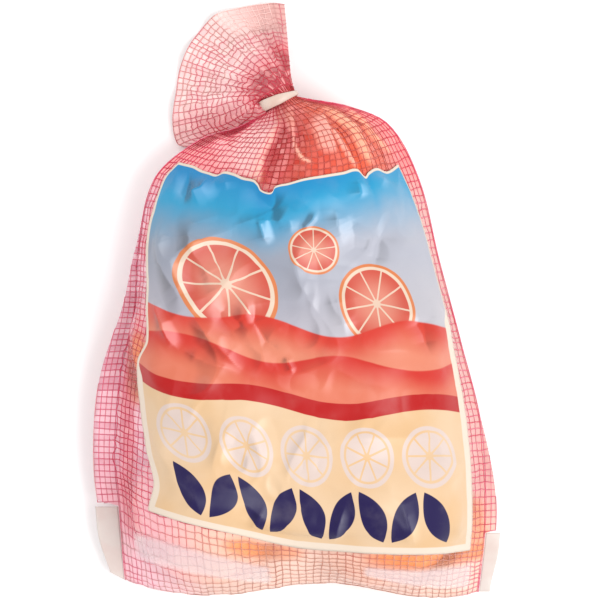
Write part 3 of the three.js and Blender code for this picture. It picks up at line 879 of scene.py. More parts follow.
def strand_rows(points):
    """Fine rows of the body a mesh apart, measured along some columns of its middle."""
    measured = slice(FIN_FINE + UNMEASURED, -FIN_FINE - UNMEASURED, MEASURED_STEP)
    steps = np.diff(points[:BODY_FINE, measured], axis=0)
    foot = 1 - ease(FINE_PLACES[1:], LABEL_BOTTOM, LABEL_BOTTOM + FOOT_PULLED)
    seen_share = SEEN_SHARE + (FOOT_SEEN_SHARE - SEEN_SHARE) * foot
    measure = spread(steps, seen_share[:, None]).mean(axis=1)
    return evenly(measure, MESH_SIZE, np.arange(BODY_FINE, dtype=float))


def under_label(row, share):
    """True where the printed panel hides the net, a little inside its edges."""
    t = at_place(row)
    left, right = label_sides(t)
    along_it = (t > label_bottom(share) + HIDDEN_FOOT) & (t < LABEL_TOP - HIDDEN_TOP)
    return along_it & (share > left + HIDDEN_SIDE) & (share < right - HIDDEN_SIDE)


def fin_line(side, row, distance, sheet):
    """Points at a distance outside a side's seam, at these fine rows of the body."""
    t = at_place(row)
    x, y = plan(np.full(len(t), side["share"]), t)
    z = along(SEAM_AT, SEAM_HEIGHT, t) + sheet * SEAM_HALF
    return np.stack([x + side["sign"] * distance, y, z], axis=1)


def sway(row, column, amount, seed):
    """Fine rows and columns moved a little, so that the net isn't drawn with a ruler."""
    shifts = []
    for n in range(2):
        broad = lattice_noise(row, column, SWAY_SIZE, seed + n)
        close = lattice_noise(row, column, WOBBLE_SIZE, seed + n + 2)
        shifts.append(amount * (broad + WOBBLE * close))
    return row + shifts[0], np.clip(column + shifts[1], 0, ALL_FINE - 1)


def body_sway(row, column):
    """The body's strands sway less and less towards the neck."""
    calm = 1 - ease(row, at_row(NECK_CALM[0]), at_row(NECK_CALM[1]))
    row, column = sway(row, column, BODY_SWAY * calm, BODY_SEED)
    return np.maximum(row, 0), column


def tail_sway(row, column):
    """The tail's strands keep their places at the tie and at the rim."""
    calm = ease(row, 0, TAIL_CALM) * (1 - ease(row, TAIL_FINE - RIM_CALM[0], TAIL_FINE - RIM_CALM[1]))
    row, column = sway(row, column, TAIL_SWAY * calm, TAIL_SEED)
    return np.clip(row, 0, TAIL_FINE - 1), column


def columns_of(bag):
    """The lengthwise strands of a sheet: the share of each, and the places between which it runs."""
    hips = strand_shares(HIPS, COLUMN_MESH)
    if bag.sheet < 0:
        return [(share, 0, 1 if n % 2 == 0 else SHOULDER_SHARE) for n, share in enumerate(hips)]
    beside = (hips < SIDE_SHARES[0]) | (hips > SIDE_SHARES[1])
    shoulder = strand_shares(LABEL_TOP, SHOULDER_MESH)
    shoulder = shoulder[(shoulder > SIDE_SHARES[0]) & (shoulder < SIDE_SHARES[1])]
    columns = [(share, 0, 1 if side else LABEL_MIDDLE) for share, side in zip(hips, beside)]
    stops = [1 if n % 2 else CROWDED_SHARE for n in range(len(shoulder))]
    return columns + [(share, LABEL_MIDDLE, stop) for share, stop in zip(shoulder, stops)]


def shares_at(columns, place):
    """The shares of the lengthwise strands that pass a place along the bag."""
    return np.sort([share for share, start, stop in columns if start <= place <= stop])


def below_label(row):
    """1 on the net below the printed panel, 0 further up."""
    return 1 - ease(at_place(row), LABEL_BOTTOM - BELOW_FROM, LABEL_BOTTOM + BELOW_TO)


def strand_tone(bag, row, column):
    """How pale the body's strands are: paler on pleats and at the foot, deep red where they are bunched and
    in painted shade.
    """
    tone = SIDE_TONE - SHOULDER_DARKER * read(bag.shoulder, row, column)
    tone = tone + PLEAT_PALER * read(bag.pleat, row, column)
    return tone + FOOT_PALER * below_label(row) - RED_AND_SHADE_DARKER * read(bag.flush, row, column)


def strand_warmth(bag, row, column):
    """1 where the strands look brown on the peel behind them, 0 where they are pink."""
    side = read(bag.side, row, column)
    middle = ease(side, *WARM_BEGINS) * (1 - ease(side, *WARM_ENDS))
    above = SHOULDER_WARMTH + RIGHT_WARMTH * ease(side, *RIGHT_BEGINS)
    above = read(bag.shoulder, row, column) * above
    spots = SPOT_WARMTH * read(bag.spot, row, column)
    return np.maximum(middle * np.maximum(below_label(row), above), spots)


def strand_parts(bag, place):
    """The points, normals, tones and warmths of a strand of the body through these rows and columns."""
    tone = varied(strand_tone(bag, *place))
    return read(bag.points, *place), read(bag.normals, *place), tone, strand_warmth(bag, *place)


def lengthwise(strands, bag, rows, columns):
    """Adds the strands that run along the body, on into the neck where they go that far."""
    neck = BODY_FINE + 2.0
    ends = np.append(rows, [BODY_FINE - 0.5, neck])
    for share, start, stop in columns:
        place = body_sway(ends, np.full(len(ends), at_column(share)))
        shown = (ends >= at_row(start)) & (ends <= (at_row(stop) if stop < 1 else neck))
        if bag.sheet > 0:
            shown &= ~under_label(ends, share)
        strands.add_shown(shown, *strand_parts(bag, place))


def crosswise(strands, bag, row, share):
    """Adds the strand that crosses the body at a row, from the edge of one fin to the edge of the other."""
    share = np.sort(np.concatenate([share, (share[1:] + share[:-1]) / 2]))
    level = np.full(len(share), row)
    points, normals, tone, warm = strand_parts(bag, body_sway(level, at_column(share)))
    shown = ~under_label(level, share) if bag.sheet > 0 else np.ones(len(share), bool)
    end = np.array([row])
    fins = [fin_line(side, end, fin_width(side, at_place(end)), bag.sheet) for side in (LEFT, RIGHT)]
    up = np.array([[0.0, 0.0, bag.sheet]])
    strands.add_shown(
        np.pad(shown, 1, constant_values=True),
        np.concatenate([fins[0], points, fins[1]]),
        np.concatenate([up, normals, up]),
        np.pad(tone, 1, constant_values=FIN_TONE),
        np.pad(warm, 1),
        CROSS_LIFT)


def fin_strands(strands, side, sheet, rows):
    """Adds the strands that run along a fin."""
    row = np.sort(np.append(rows, at_row(side["tab_top"] + FIN_STEP)))
    width = fin_width(side, at_place(row))
    count = round(side["fin"] / FIN_MESH)
    for distance in SEAM_EDGE + side["fin"] * np.arange(count + 1) / count:
        line = fin_line(side, row, np.minimum(distance, width), sheet)
        for run in runs(width > distance - FIN_OVERHANG):
            up = np.tile([0.0, 0.0, sheet], (run.stop - run.start, 1))
            strands.add(line[run], up, varied(FIN_TONE))


def body_strands(bag):
    """The strands of one sheet of the body. The front has none under the printed panel."""
    strands = Ribbons()
    columns = columns_of(bag)
    rows = strand_rows(bag.points)
    crossing = rows[rows < at_row(LAST_ROW)]
    lengthwise(strands, bag, rows, columns)
    for row in crossing:
        crosswise(strands, bag, row, shares_at(columns, at_place(row)))
    for side in (LEFT, RIGHT):
        fin_strands(strands, side, bag.sheet, crossing)
    return strands


def tail_tone(bag, row, column):
    """How pale the tail's strands are: deep red where they are bunched and in painted shade, hardly seen at
    the folded corner.
    """
    row = row + BODY_FINE
    tone = TAIL_TONE - TAIL_RED_AND_SHADE_DARKER * read(bag.flush, row, column)
    return tone + HEM_PALER * read(bag.hem, row, column)


def tail_strands(bag, offset):
    """The strands of one sheet of the tail, thinning out from the crowded neck to the rim."""
    strands = Ribbons()
    shape = bag.points[BODY_FINE:]
    normals = bag.normals[BODY_FINE:]

    def add(row, turn, lift):
        place = tail_sway(row, turn * (ALL_FINE - 1))
        tone = varied(tail_tone(bag, *place))
        strands.add(read(shape, *place), read(normals, *place), tone, TAIL_WARMTH, lift)

    fine = np.linspace(0, 1, TAIL_STRAND_POINTS)
    for n in range(TAIL_STRANDS):
        turn = np.clip((n + offset + RANDOM.uniform(-TAIL_JITTER, TAIL_JITTER)) / TAIL_STRANDS, 0, 1)
        start = TAIL_STARTS[n % len(TAIL_STARTS)] * RANDOM.uniform(*TAIL_START_VARIES)
        add((start + fine * (1 - start)) * (TAIL_FINE - 1), np.full(len(fine), turn), STRAND_LIFT)
    mesh = TAIL_MESH / (TAIL_REACH + TAIL_CORNER_REACH)
    turn = np.linspace(0, 1, TAIL_ROUND_POINTS)
    for reach in np.append(np.arange((TAIL_FIRST_ROUND + offset) * mesh, 1 - mesh / 2, mesh), 1.0):
        add(np.full(len(turn), reach * (TAIL_FINE - 1)), turn, CROSS_LIFT)
    return strands


# The strands' colours by their tone, pink ones and brown ones, and where they fade into the folded corner.
STRAND_PINKS = {0: (158, 20, 42), 0.4: (204, 48, 80), 0.75: (216, 104, 128), 1.05: (208, 154, 154)}
STRAND_BROWNS = {0.1: (150, 36, 28), 0.5: (178, 84, 66), 1.0: (190, 140, 122)}
STRAND_FADES = (1.15, 1.5)


def strand_material():
    paint = Paint("net_strands", 0.4, 0.25)
    tone = paint.stored("tone") + (paint.noise(90.0) - 0.5) * 0.5
    pink = paint.ramp(tone, STRAND_PINKS)
    colour = paint.mix(paint.stored("warmth"), pink, paint.ramp(tone, STRAND_BROWNS))
    return paint.colour(paint.mix(paint.ease(tone, *STRAND_FADES), colour, (244, 204, 198)))


def net_cells(bag):
    """Which cell of the net each fine point lies in: its number along the bag and its number across it."""
    row, column = np.indices((BODY_FINE + TAIL_FINE, ALL_FINE)).astype(float)
    body, tail = slice(0, BODY_FINE), slice(BODY_FINE, None)
    row[tail] -= BODY_FINE
    for part, swayed in ((body, body_sway), (tail, tail_sway)):
        moved = swayed(row[part], column[part])
        row[part], column[part] = 2 * row[part] - moved[0], 2 * column[part] - moved[1]
    rows = strand_rows(bag.points)
    row[body] = np.interp(row[body], rows, np.arange(len(rows)))
    row[tail] *= (TAIL_REACH + TAIL_CORNER_REACH) / TAIL_MESH / (TAIL_FINE - 1)
    columns = columns_of(bag)
    for n in range(BODY_FINE):
        share = shares_at(columns, FINE_PLACES[n])
        column[n] = np.interp(column[n], at_column(share), np.arange(len(share)))
    column[tail] *= TAIL_STRANDS / (ALL_FINE - 1)
    return row, column


# What the film's material reads at each point of its mesh.
FILM_VALUES = (
    "contact", "pleat", "flush", "hem", "reach", "foot", "shoulder", "side", "spot",
    "cell_row", "cell_column")


def bag_film():
    """The pink film of the bag: both sheets, closed along the seams and the tail's rim."""
    fine_from = int(at_row(PLEAT_FROM))
    keep_rows = np.concatenate([np.arange(0, fine_from, 2), np.arange(fine_from, BODY_FINE + TAIL_FINE)])
    inner = np.arange(FIN_FINE, ALL_FINE - FIN_FINE, 2)
    keep = np.concatenate([np.arange(FIN_FINE), inner, np.arange(ALL_FINE - FIN_FINE, ALL_FINE)])
    cut = np.ix_(keep_rows, keep)
    for bag in (FRONT, BACK):
        bag.cell_row, bag.cell_column = net_cells(bag)
    piece = new_mesh("bag_film", *closed_between(FRONT.points[cut], BACK.points[cut]))
    for name in FILM_VALUES:
        set_values(piece, name, np.concatenate([getattr(bag, name)[cut].ravel() for bag in (FRONT, BACK)]))
    return piece


# The film's colours by the share of the width: above the printed panel, and on the pleats there.
SHOULDER_FILM = {
    0.28: (246, 156, 158), 0.4: (180, 44, 40), 0.52: (186, 50, 42), 0.62: (214, 74, 58), 0.78: (226, 86, 50),
    0.88: (228, 100, 74), 0.96: (236, 136, 134),
}
PLEAT_FILM = {
    0.3: (255, 208, 204), 0.42: (250, 194, 172), 0.55: (250, 190, 164), 0.7: (255, 184, 170),
    0.85: (255, 180, 146),
}
# How much chance there is in the tone of a cell, in how pale it is on the shoulder and in how deep red.
CELL_CHANCE, SHOULDER_CHANCE, FLUSH_CHANCE = 0.6, 0.24, 0.2
# How pale the palest deep red cells are, and by which power of chance the others are less so.
PALE_CELL, PALE_CELL_POWER = 0.7, 3.0
# How dense the film is and may become, what contact, clear spots and pleats change, and a spot's colour.
VEIL, VEIL_MOST, CONTACT_CLEARS, SPOT_CLEARS, PLEAT_CLOUDS, SPOT_SHARE = 0.87, 0.93, 0.18, 0.42, 0.2, 0.85


def film_material():
    """Pink film in tones that change from cell to cell, thin where it lies on a fruit, deep red where the net
    is bunched and in painted shade.
    """
    paint = Paint("pink_film", 0.34, 0.22)
    pleat, flush, side, spot = [paint.stored(name) for name in ("pleat", "flush", "side", "spot")]
    cell = [paint.math("FLOOR", paint.stored(name)) for name in ("cell_row", "cell_column")]
    cell = paint.node("CombineXYZ", 0, enumerate(cell))
    chance = paint.node("TexWhiteNoise", "Value", [("Vector", cell)])
    mottle = chance * CELL_CHANCE + paint.noise(45.0) * (1 - CELL_CHANCE)
    colour = paint.mix(paint.ease(mottle, 0.1, 0.8), (224, 160, 175), (241, 198, 207))
    tail = paint.mix(mottle, (246, 190, 192), (254, 228, 222))
    colour = paint.mix(paint.ease(paint.stored("reach"), 0.02, 0.2), colour, tail)
    colour = paint.mix(paint.stored("hem"), colour, (252, 222, 217))
    colour = paint.mix(paint.ease(side, 0.6, 1.0), colour, (220, 168, 162))
    below = paint.mix(paint.ease(side, 0.08, 0.3), (248, 196, 206), (245, 205, 188))
    colour = paint.mix(paint.stored("foot"), colour, below)
    colour = paint.mix(spot * SPOT_SHARE, colour, (240, 142, 86))
    warm = paint.mix(chance * SHOULDER_CHANCE, paint.ramp(side, SHOULDER_FILM), (255, 188, 180))
    colour = paint.mix(paint.stored("shoulder"), colour, warm)
    colour = paint.mix(pleat, colour, paint.ramp(side, PLEAT_FILM))
    # Deep red of bunched net, which also paints the shade where the tail lies on the shoulder and beside the
    # tie.
    deep = paint.mix(paint.ease(flush, 0.65, 1.0), (222, 100, 112), (162, 32, 46))
    deep = paint.mix(paint.math("POWER", chance, PALE_CELL_POWER) * PALE_CELL, deep, (250, 176, 174))
    clear = paint.stored("contact") * (spot * SPOT_CLEARS + CONTACT_CLEARS)
    paint.set("Alpha", paint.math("MINIMUM", VEIL - clear + pleat * PLEAT_CLOUDS, VEIL_MOST))
    flush = flush * (chance * FLUSH_CHANCE + (1 - FLUSH_CHANCE))
    return paint.colour(paint.mix(flush, colour, deep))


STRANDS = strand_material()
put(body_strands(FRONT).mesh("net_front"), STRANDS, "net", "net_bag")
put(body_strands(BACK).mesh("net_back"), STRANDS, "net", "net_bag")
put(tail_strands(FRONT, 0.0).mesh("tail_front"), STRANDS, "net", "net_bag")
put(tail_strands(BACK, 0.5).mesh("tail_back"), STRANDS, "net", "net_bag")
put(bag_film(), film_material(), "net", "net_bag")


# The fruit: how far inside the film they end, how finely they are drawn, and their form.
FRUIT_CLEAR, FRUIT_FLOOR = 0.7, 0.6
FRUIT_ROUND, FRUIT_TALL = 96, 64
FRUIT_ASIDE = (0.31, -0.77, 0.55)
STEM_DENT, TIP_DENT = (0.03, 0.16), (0.012, 0.12)
FRUIT_FLATTENED = 0.035
STEM_REACH, TIP_REACH = 0.935, 0.953


def make_fruit(number, fruit):
    radius = fruit["radius"] - FRUIT_CLEAR
    axis = unit(np.array(fruit["stem"]))
    side = unit(np.cross(axis, FRUIT_ASIDE))
    other = np.cross(axis, side)
    polar = np.linspace(0, math.pi, FRUIT_TALL + 1)[1:-1]
    turn = np.linspace(0, 2 * math.pi, FRUIT_ROUND, endpoint=False)
    polar, turn = np.meshgrid(polar, turn, indexing="ij")
    dent = 1.0
    for (depth, width), away in ((STEM_DENT, polar), (TIP_DENT, math.pi - polar)):
        dent = dent - depth * np.exp(-((away / width) ** 2))
    reach = radius * dent * (1 - FRUIT_FLATTENED * np.cos(polar) ** 2)
    around = np.cos(turn)[..., None] * side + np.sin(turn)[..., None] * other
    points = (np.cos(polar)[..., None] * axis + np.sin(polar)[..., None] * around) * reach[..., None]
    ends = np.array([axis * radius * STEM_REACH, -axis * radius * TIP_REACH])
    points = np.concatenate([points.reshape(-1, 3), ends]) + fruit_middle(fruit)
    points[:, 2] = np.maximum(points[:, 2], FRUIT_FLOOR)
    index = np.arange((FRUIT_TALL - 1) * FRUIT_ROUND).reshape(FRUIT_TALL - 1, FRUIT_ROUND)
    turned = np.roll(index, -1, axis=1)
    faces = np.stack([index[:-1], index[1:], turned[1:], turned[:-1]], axis=-1).reshape(-1, 4).tolist()
    faces += [[index.size, a, b] for a, b in zip(index[0], turned[0])]
    faces += [[index.size + 1, b, a] for a, b in zip(index[-1], turned[-1])]
    return new_mesh(f"grapefruit_{number + 1}", points, faces)


def peel_material():
    """Orange peel with pores, redder on the fruit near the neck."""
    paint = Paint("grapefruit_peel", 0.42)
    blush = paint.ease(paint.noise(16.0), 0.36, 0.66)
    colour = paint.mix(blush, (252, 172, 96), (244, 138, 76))
    ripe = paint.ease(paint.part(paint.place(), "Y"), 0.005, 0.075) * 0.8
    colour = paint.mix(ripe, colour, paint.mix(blush, (238, 112, 64), (216, 72, 52)))
    pores = paint.node("TexVoronoi", "Distance", [("Scale", 700.0), ("Vector", paint.place())])
    pit = paint.ease(pores, 0.35, 0.0)
    paint.bump(1.0 - pit, 0.3, 0.0003)
    return paint.colour(paint.mix(pit * 0.35, colour, (206, 92, 40)))


PEEL = peel_material()
for number, fruit in enumerate(FRUIT):
    put(make_fruit(number, fruit), PEEL, "net", "net_bag")


# The folds of the printed film: a line of photo pixels, the rise, and the reach to its left and right.
FOLDS = [
    (((271, 176), (274, 209), (262, 221)), -2.0, 9.0, 8.0),
    (((263, 215), (264, 226), (270, 248)), 1.6, 7.0, 3.0),
    (((259, 222), (282, 221), (289, 229)), 1.4, 7.0, 4.0),
    (((275, 212), (291, 221), (293, 238)), 0.9, 5.0, 5.0),
    (((317, 211), (302, 233)), 1.0, 1.8, 1.8),
    (((193, 162), (184, 209)), -1.3, 4.0, 3.0),
    (((215, 170), (205, 191), (184, 199)), 1.5, 3.5, 5.5),
    (((224, 166), (230, 194)), 1.2, 3.0, 7.0),
    (((358, 171), (368, 176), (386, 185)), 1.3, 5.0, 3.0),
    (((332, 206), (334, 224), (342, 248)), 1.3, 7.0, 5.0),
    (((166, 212), (161, 246), (169, 266), (184, 301), (198, 322)), 1.9, 5.5, 8.0),
    (((200, 208), (194, 237), (198, 257), (212, 278), (224, 304)), 1.4, 5.0, 12.0),
    (((345, 214), (354, 237), (368, 256)), -1.2, 9.0, 6.0),
    (((384, 222), (376, 248), (371, 274)), -1.1, 8.0, 7.0),
    (((354, 180), (355, 202)), 0.8, 4.0, 3.0),
    (((149, 290), (163, 318), (176, 341), (186, 354)), 1.6, 3.0, 3.0),
    (((178, 345), (205, 358), (244, 373)), 1.5, 4.0, 3.0),
    (((190, 322), (216, 342), (243, 370)), 1.7, 3.5, 6.0),
    (((212, 306), (231, 318), (250, 333)), -1.5, 5.0, 4.0),
    (((256, 296), (255, 322), (267, 341), (285, 353)), -1.7, 4.0, 5.0),
    (((284, 354), (294, 374)), 1.0, 2.5, 2.5),
    (((333, 286), (347, 341)), 1.2, 6.0, 8.0),
    (((411, 310), (421, 333), (425, 356)), -1.2, 6.0, 6.0),
    (((268, 496), (240, 546)), 0.6, 3.0, 3.0),
    (((347, 494), (329, 550)), 0.6, 3.0, 3.0),
    (((397, 494), (413, 550)), 0.6, 3.0, 3.0),
]
FOLD_RISE, FOLD_WIDTH, FOLD_CURVE = 1.7, 1.8, 1.5
LOWEST_FOLD, HIGHEST_FOLD = -2.2, 3.6
# The finer creases all over the film: their size, turn in degrees, rise and seed. They are bent by a share
# of their size, in bends that are larger than they are.
CREASES = ((30.0, 28, 1.3, 41), (13.0, 67, 0.4, 43))
CREASE_BEND, BEND_SIZE = 0.6, 2.3
FILM_LIFT, EDGE_LIFT, EDGE_WIDTH, FILM_THICKNESS = 2.6, 1.2, 14.0, 0.3
# The step over which the folds' slope is read, and the direction of the key light: the folds' sides that face
# it get a painted highlight, the others painted shade.
SLOPE_STEP, KEY_LIGHT_SIDE = 0.9, math.radians(-20)
# How far in from its side the printed film's left edge is drawn, at places along the bag, as shares of the
# width, and how far its two upper corners spread out.
LEFT_EDGE = [
    (0, 0), (0.09, -0.012), (0.145, 0.006), (0.195, -0.012), (0.28, -0.012), (0.34, -0.01), (0.385, 0.016),
    (0.47, 0), (1, 0),
]
CORNER_SPREAD, CORNER_AT = (0.043, 0.015), (0.66, 0.77)
# The panel's wavy upper edge: a share of its width, and how far along the bag the edge is pulled there.
# The pull dies out below the edge by a power of the height.
TOP_EDGE = [
    (0, 0.018), (0.07, 0.0185), (0.117, 0.0125), (0.159, 0.01), (0.196, 0.008), (0.218, 0.0185),
    (0.268, 0.017), (0.319, 0.0095), (0.369, 0.0065), (0.39, -0.003), (0.403, -0.0145), (0.434, -0.022),
    (0.455, -0.02), (0.463, -0.0075), (0.518, 0), (0.586, 0.009), (0.678, 0.0125), (0.754, 0.0135),
    (0.818, 0.0145), (0.841, -0.004), (0.86, 0.003), (0.899, 0.0085), (0.938, -0.003), (1, 0.0055),
]
PULL_POWER = 8


def creases(x, y, size, turn, seed):
    """Creased noise between -1 and 1 on a lattice that is turned and bent."""
    bend = CREASE_BEND * size * lattice_noise(x, y, BEND_SIZE * size, seed + 1)
    a = x * math.cos(turn) + y * math.sin(turn) + bend
    b = y * math.cos(turn) - x * math.sin(turn) - bend
    return 1 - 2 * np.abs(lattice_noise(a, b, size, seed))


def fold_height(x, y):
    """How far the film's folds and crumples stand out at points seen from above."""
    height = np.zeros(x.shape)
    for size, turn, rise, seed in CREASES:
        height += rise * creases(x, y, size, math.radians(turn), seed)
    for line, rise, left, right in FOLDS:
        tent = fold_tent(x, y, line, FOLD_WIDTH * left, FOLD_WIDTH * right)
        height += FOLD_RISE * rise * tent**FOLD_CURVE
    return np.clip(height, LOWEST_FOLD, HIGHEST_FOLD)


def lit_side_slope(x, y):
    """How steeply the folds fall towards the key light, for their painted highlight. It is below 0 where they
    rise towards it, for their painted shade.
    """
    dx, dy = SLOPE_STEP * math.cos(KEY_LIGHT_SIDE), SLOPE_STEP * math.sin(KEY_LIGHT_SIDE)
    return (fold_height(x - dx, y - dy) - fold_height(x + dx, y + dy)) / (2 * SLOPE_STEP)


def film_patch(name, size, edges, lift, folds, wave=None, dense=0.0):
    """A thin closed film over part of the front, with a size in rows and columns.

    Its lower, upper, left and right edges are functions of the share along them. Its rows are closer
    together near the upper edge where dense is above 0."""
    lower, upper, left, right = edges
    steps = np.linspace(0, 1, size[0] + 1)
    steps = steps * (1 + dense) - dense * steps**2
    v, u = np.meshgrid(steps, np.linspace(0, 1, size[1] + 1), indexing="ij")
    place = lower(u) + (upper(u) - lower(u)) * v
    if wave:
        place = place + wave(u) * v**PULL_POWER
    share = left(place) + (right(place) - left(place)) * u
    row, column = at_row(place), at_column(share)
    normals = unit(read(FRONT.normals, row, column))
    outer = read(FRONT.points, row, column)
    tall = np.linalg.norm(np.diff(outer, axis=0), axis=-1).sum(axis=0).mean()
    wide = np.linalg.norm(np.diff(outer, axis=1), axis=-1).sum(axis=1).mean()
    inward = ease(np.minimum(wide * np.minimum(u, 1 - u), tall * np.minimum(v, 1 - v)), 0, EDGE_WIDTH)
    raised = lift - EDGE_LIFT + folds * fold_height(outer[..., 0], outer[..., 1])
    # The folds' painted highlight and shade, stored for the print as slope.
    slope = inward * folds * lit_side_slope(outer[..., 0], outer[..., 1])
    outer = outer + normals * (EDGE_LIFT + inward * raised)[..., None]
    piece = new_mesh(name, *closed_between(outer, outer - normals * FILM_THICKNESS))
    set_values(piece, "slope", np.tile(slope.ravel(), 2))
    flat = np.tile(np.stack([u, v], axis=-1).reshape(-1, 2), (2, 1))
    layer = piece.data.uv_layers.new(name="OFBake")
    corner = np.zeros(len(piece.data.loops), int)
    piece.data.loops.foreach_get("vertex_index", corner)
    layer.data.foreach_set("uv", flat[corner].ravel())
    return piece


def label_left(t):
    """The printed film's left edge, which is wavy and spreads out a little at its upper corner."""
    return label_sides(t)[0] + curve(LEFT_EDGE, t) - CORNER_SPREAD[0] * ease(t, *CORNER_AT)


def label_right(t):
    return label_sides(t)[1] + CORNER_SPREAD[1] * ease(t, *CORNER_AT)


def label_top(share):
    return np.full(np.shape(share), LABEL_TOP)


def top_wave(share):
    return curve(TOP_EDGE, share)


# The print, on a flat panel this wide and tall in millimetres, with its pale border.
PRINT_WIDTH, PRINT_HEIGHT = 170.0, 190.0
BORDER, TOP_BORDER, BORDER_STEP = 3.4, 1.4, 4.0
# The folds' painted highlight and shade: the slopes at which they begin and are full, and how much the lit
# sides are tinted and brightened and the shaded sides darkened. Then how worn the print is.
SLOPE_BEGINS, SLOPE_FULL = 0.03, 0.5
HIGHLIGHT_TINT, HIGHLIGHT_BRIGHTER, SHADE_DARKER, WORN = 0.2, 0.3, 0.45, 0.06
# The side borders, left and right: the sign of the side, the thin width and the height where it starts.
SIDE_BORDERS = ((1, 1.2, 66.0), (-1, 0.5, 110.0))
# The sky's heights where it turns grey, blue and deep blue, its clouds, and how it drops to the right.
SKY_GREYS, SKY_BLUES, SKY_DEEPENS = (95.0, 140.0), (138.0, 172.0), (166.0, 192.0)
SKY_CLOUD, SKY_DROP, SKY_RIGHT = 26.0, 9.0, (-20.0, 50.0)
# The painted slices: the middle, the radius and the turn of each. Their parts are shares of the radius.
SLICES = (((-38.0, 122.0), 29.0, 0.2), ((16.0, 147.0), 15.0, 0.6), ((46.0, 116.0), 21.0, 0.9))
SLICE_PARTS, WHEEL_PARTS = 9, 8
SLICE_WALL, SLICE_CORE, SLICE_FLESH, SLICE_PITH, FLESH_FADE = 0.09, 0.1, 0.84, 0.92, (0.2, 0.85)
WHEEL_GROOVE, WHEEL_GROOVE_HALF, WHEEL_WALL, WHEEL_RIM = 0.82, 0.045, 0.13, 0.86
# The painted hills: the height of each one's crest, its colour there and its colour further down.
HILLS = ((104.0, (228, 62, 46), (244, 146, 116)), (88.0, (224, 54, 42), (240, 130, 100)))
HILL_FADE, HILL_WAVE, HILL_RIPPLE, HILL_CLOUD, NEXT_WAVE = 16.0, 4.0, 0.075, 16.0, -0.8
BAND_TOP, GROUND_TOP = 70.0, 62.0
WHEELS = dict(count=5, apart=31.0, height=43.0, radius=13.5, turn=0.4)
LEAVES = dict(count=9, apart=16.0, height=17.0, length=25.0, width=12.0, tilts=(118, 62), soft=0.2)


def sky(paint, x, y):
    """Blue that fades to grey further down, and sooner at the right."""
    right = paint.ease(x, *SKY_RIGHT)
    high = y + (paint.noise(30.0) - 0.5) * SKY_CLOUD - right * SKY_DROP
    low_sky = paint.mix(right, (194, 190, 202), (210, 206, 213))
    mid_sky = paint.mix(right, (164, 170, 186), (196, 198, 211))
    colour = paint.mix(paint.ease(high, *SKY_GREYS), low_sky, mid_sky)
    colour = paint.mix(paint.ease(high, *SKY_BLUES), colour, (44, 171, 220))
    return paint.mix(paint.ease(high, *SKY_DEEPENS), colour, (18, 144, 210))


def round_slice(paint, x, y, middle, turn, parts):
    """The distance from the middle of a round slice, and the distance from the walls between its parts."""
    dx, dy = x - middle[0], y - middle[1]
    away = paint.math("SQRT", dx * dx + dy * dy)
    angle = paint.math("ARCTAN2", dy, dx) + turn
    return away, abs(paint.math("SINE", angle * (parts / 2))) * away


def citrus_slice(paint, under, x, y, middle, radius, turn):
    """Paints a round slice of citrus over a colour."""
    away, off_wall = round_slice(paint, x, y, middle, turn, SLICE_PARTS)
    walls, core = paint.inside(off_wall, radius * SLICE_WALL), paint.inside(away, radius * SLICE_CORE)
    white = paint.math("MAXIMUM", walls, core)
    fade = paint.ease(away, radius * FLESH_FADE[0], radius * FLESH_FADE[1])
    flesh = paint.mix(fade, (240, 150, 128), (222, 92, 74))
    flesh = paint.mix(white, flesh, (247, 214, 190))
    pith = paint.mix(paint.inside(away, radius * SLICE_FLESH), (249, 224, 200), flesh)
    whole = paint.mix(paint.inside(away, radius * SLICE_PITH), (236, 138, 84), pith)
    return paint.mix(paint.inside(away, radius), under, whole)


def pale_wheel(paint, under, ground, x, y, middle, turn):
    """Paints an off-white citrus wheel over a colour, with the ground's colour between its parts."""
    radius = WHEELS["radius"]
    away, off_wall = round_slice(paint, x, y, middle, turn, WHEEL_PARTS)
    groove = paint.inside(abs(away - radius * WHEEL_GROOVE), radius * WHEEL_GROOVE_HALF)
    gap = paint.math("MAXIMUM", paint.inside(off_wall, radius * WHEEL_WALL), groove)
    wheel = paint.mix(gap * paint.inside(away, radius * WHEEL_RIM), (240, 218, 208), ground)
    return paint.mix(paint.inside(away, radius), under, wheel)


def leaf(paint, under, x, y, middle, tilt):
    """Paints a dark pointed leaf over a colour."""
    dx, dy = x - middle[0], y - middle[1]
    run = dx * math.cos(tilt) + dy * math.sin(tilt)
    off = dy * math.cos(tilt) - dx * math.sin(tilt)
    share = run * (2 / LEAVES["length"])
    edge = (1.0 - share * share) * (LEAVES["width"] / 2)
    soft = LEAVES["soft"]
    return paint.mix(paint.ease(edge - abs(off), -soft, soft), under, (26, 6, 80))


def landscape(paint, colour, x, y):
    """Paints two hills, a red band and the pale ground with its wheels and leaves."""
    wave = paint.math("SINE", x * HILL_RIPPLE) * HILL_WAVE
    cloud = (paint.noise(26.0) - 0.5) * HILL_CLOUD
    for crest, dark, pale in HILLS:
        rise = y + wave
        tint = paint.mix(paint.ease(rise + cloud, crest, crest - HILL_FADE), dark, pale)
        colour = paint.mix(paint.inside(rise, crest, 0.5), colour, tint)
        wave = wave * NEXT_WAVE
    rise = y + wave
    colour = paint.mix(paint.inside(rise, BAND_TOP), colour, (200, 10, 10))
    ground = paint.mix(paint.ease(paint.noise(22.0), 0.35, 0.65), (246, 202, 152), (248, 212, 172))
    colour = paint.mix(paint.inside(rise, GROUND_TOP), colour, ground)
    for n in range(WHEELS["count"]):
        middle = ((n - WHEELS["count"] // 2) * WHEELS["apart"], WHEELS["height"])
        colour = pale_wheel(paint, colour, ground, x, y, middle, n * WHEELS["turn"])
    for n in range(LEAVES["count"]):
        middle = ((n - LEAVES["count"] // 2) * LEAVES["apart"], LEAVES["height"])
        colour = leaf(paint, colour, x, y, middle, math.radians(LEAVES["tilts"][n % 2]))
    return colour


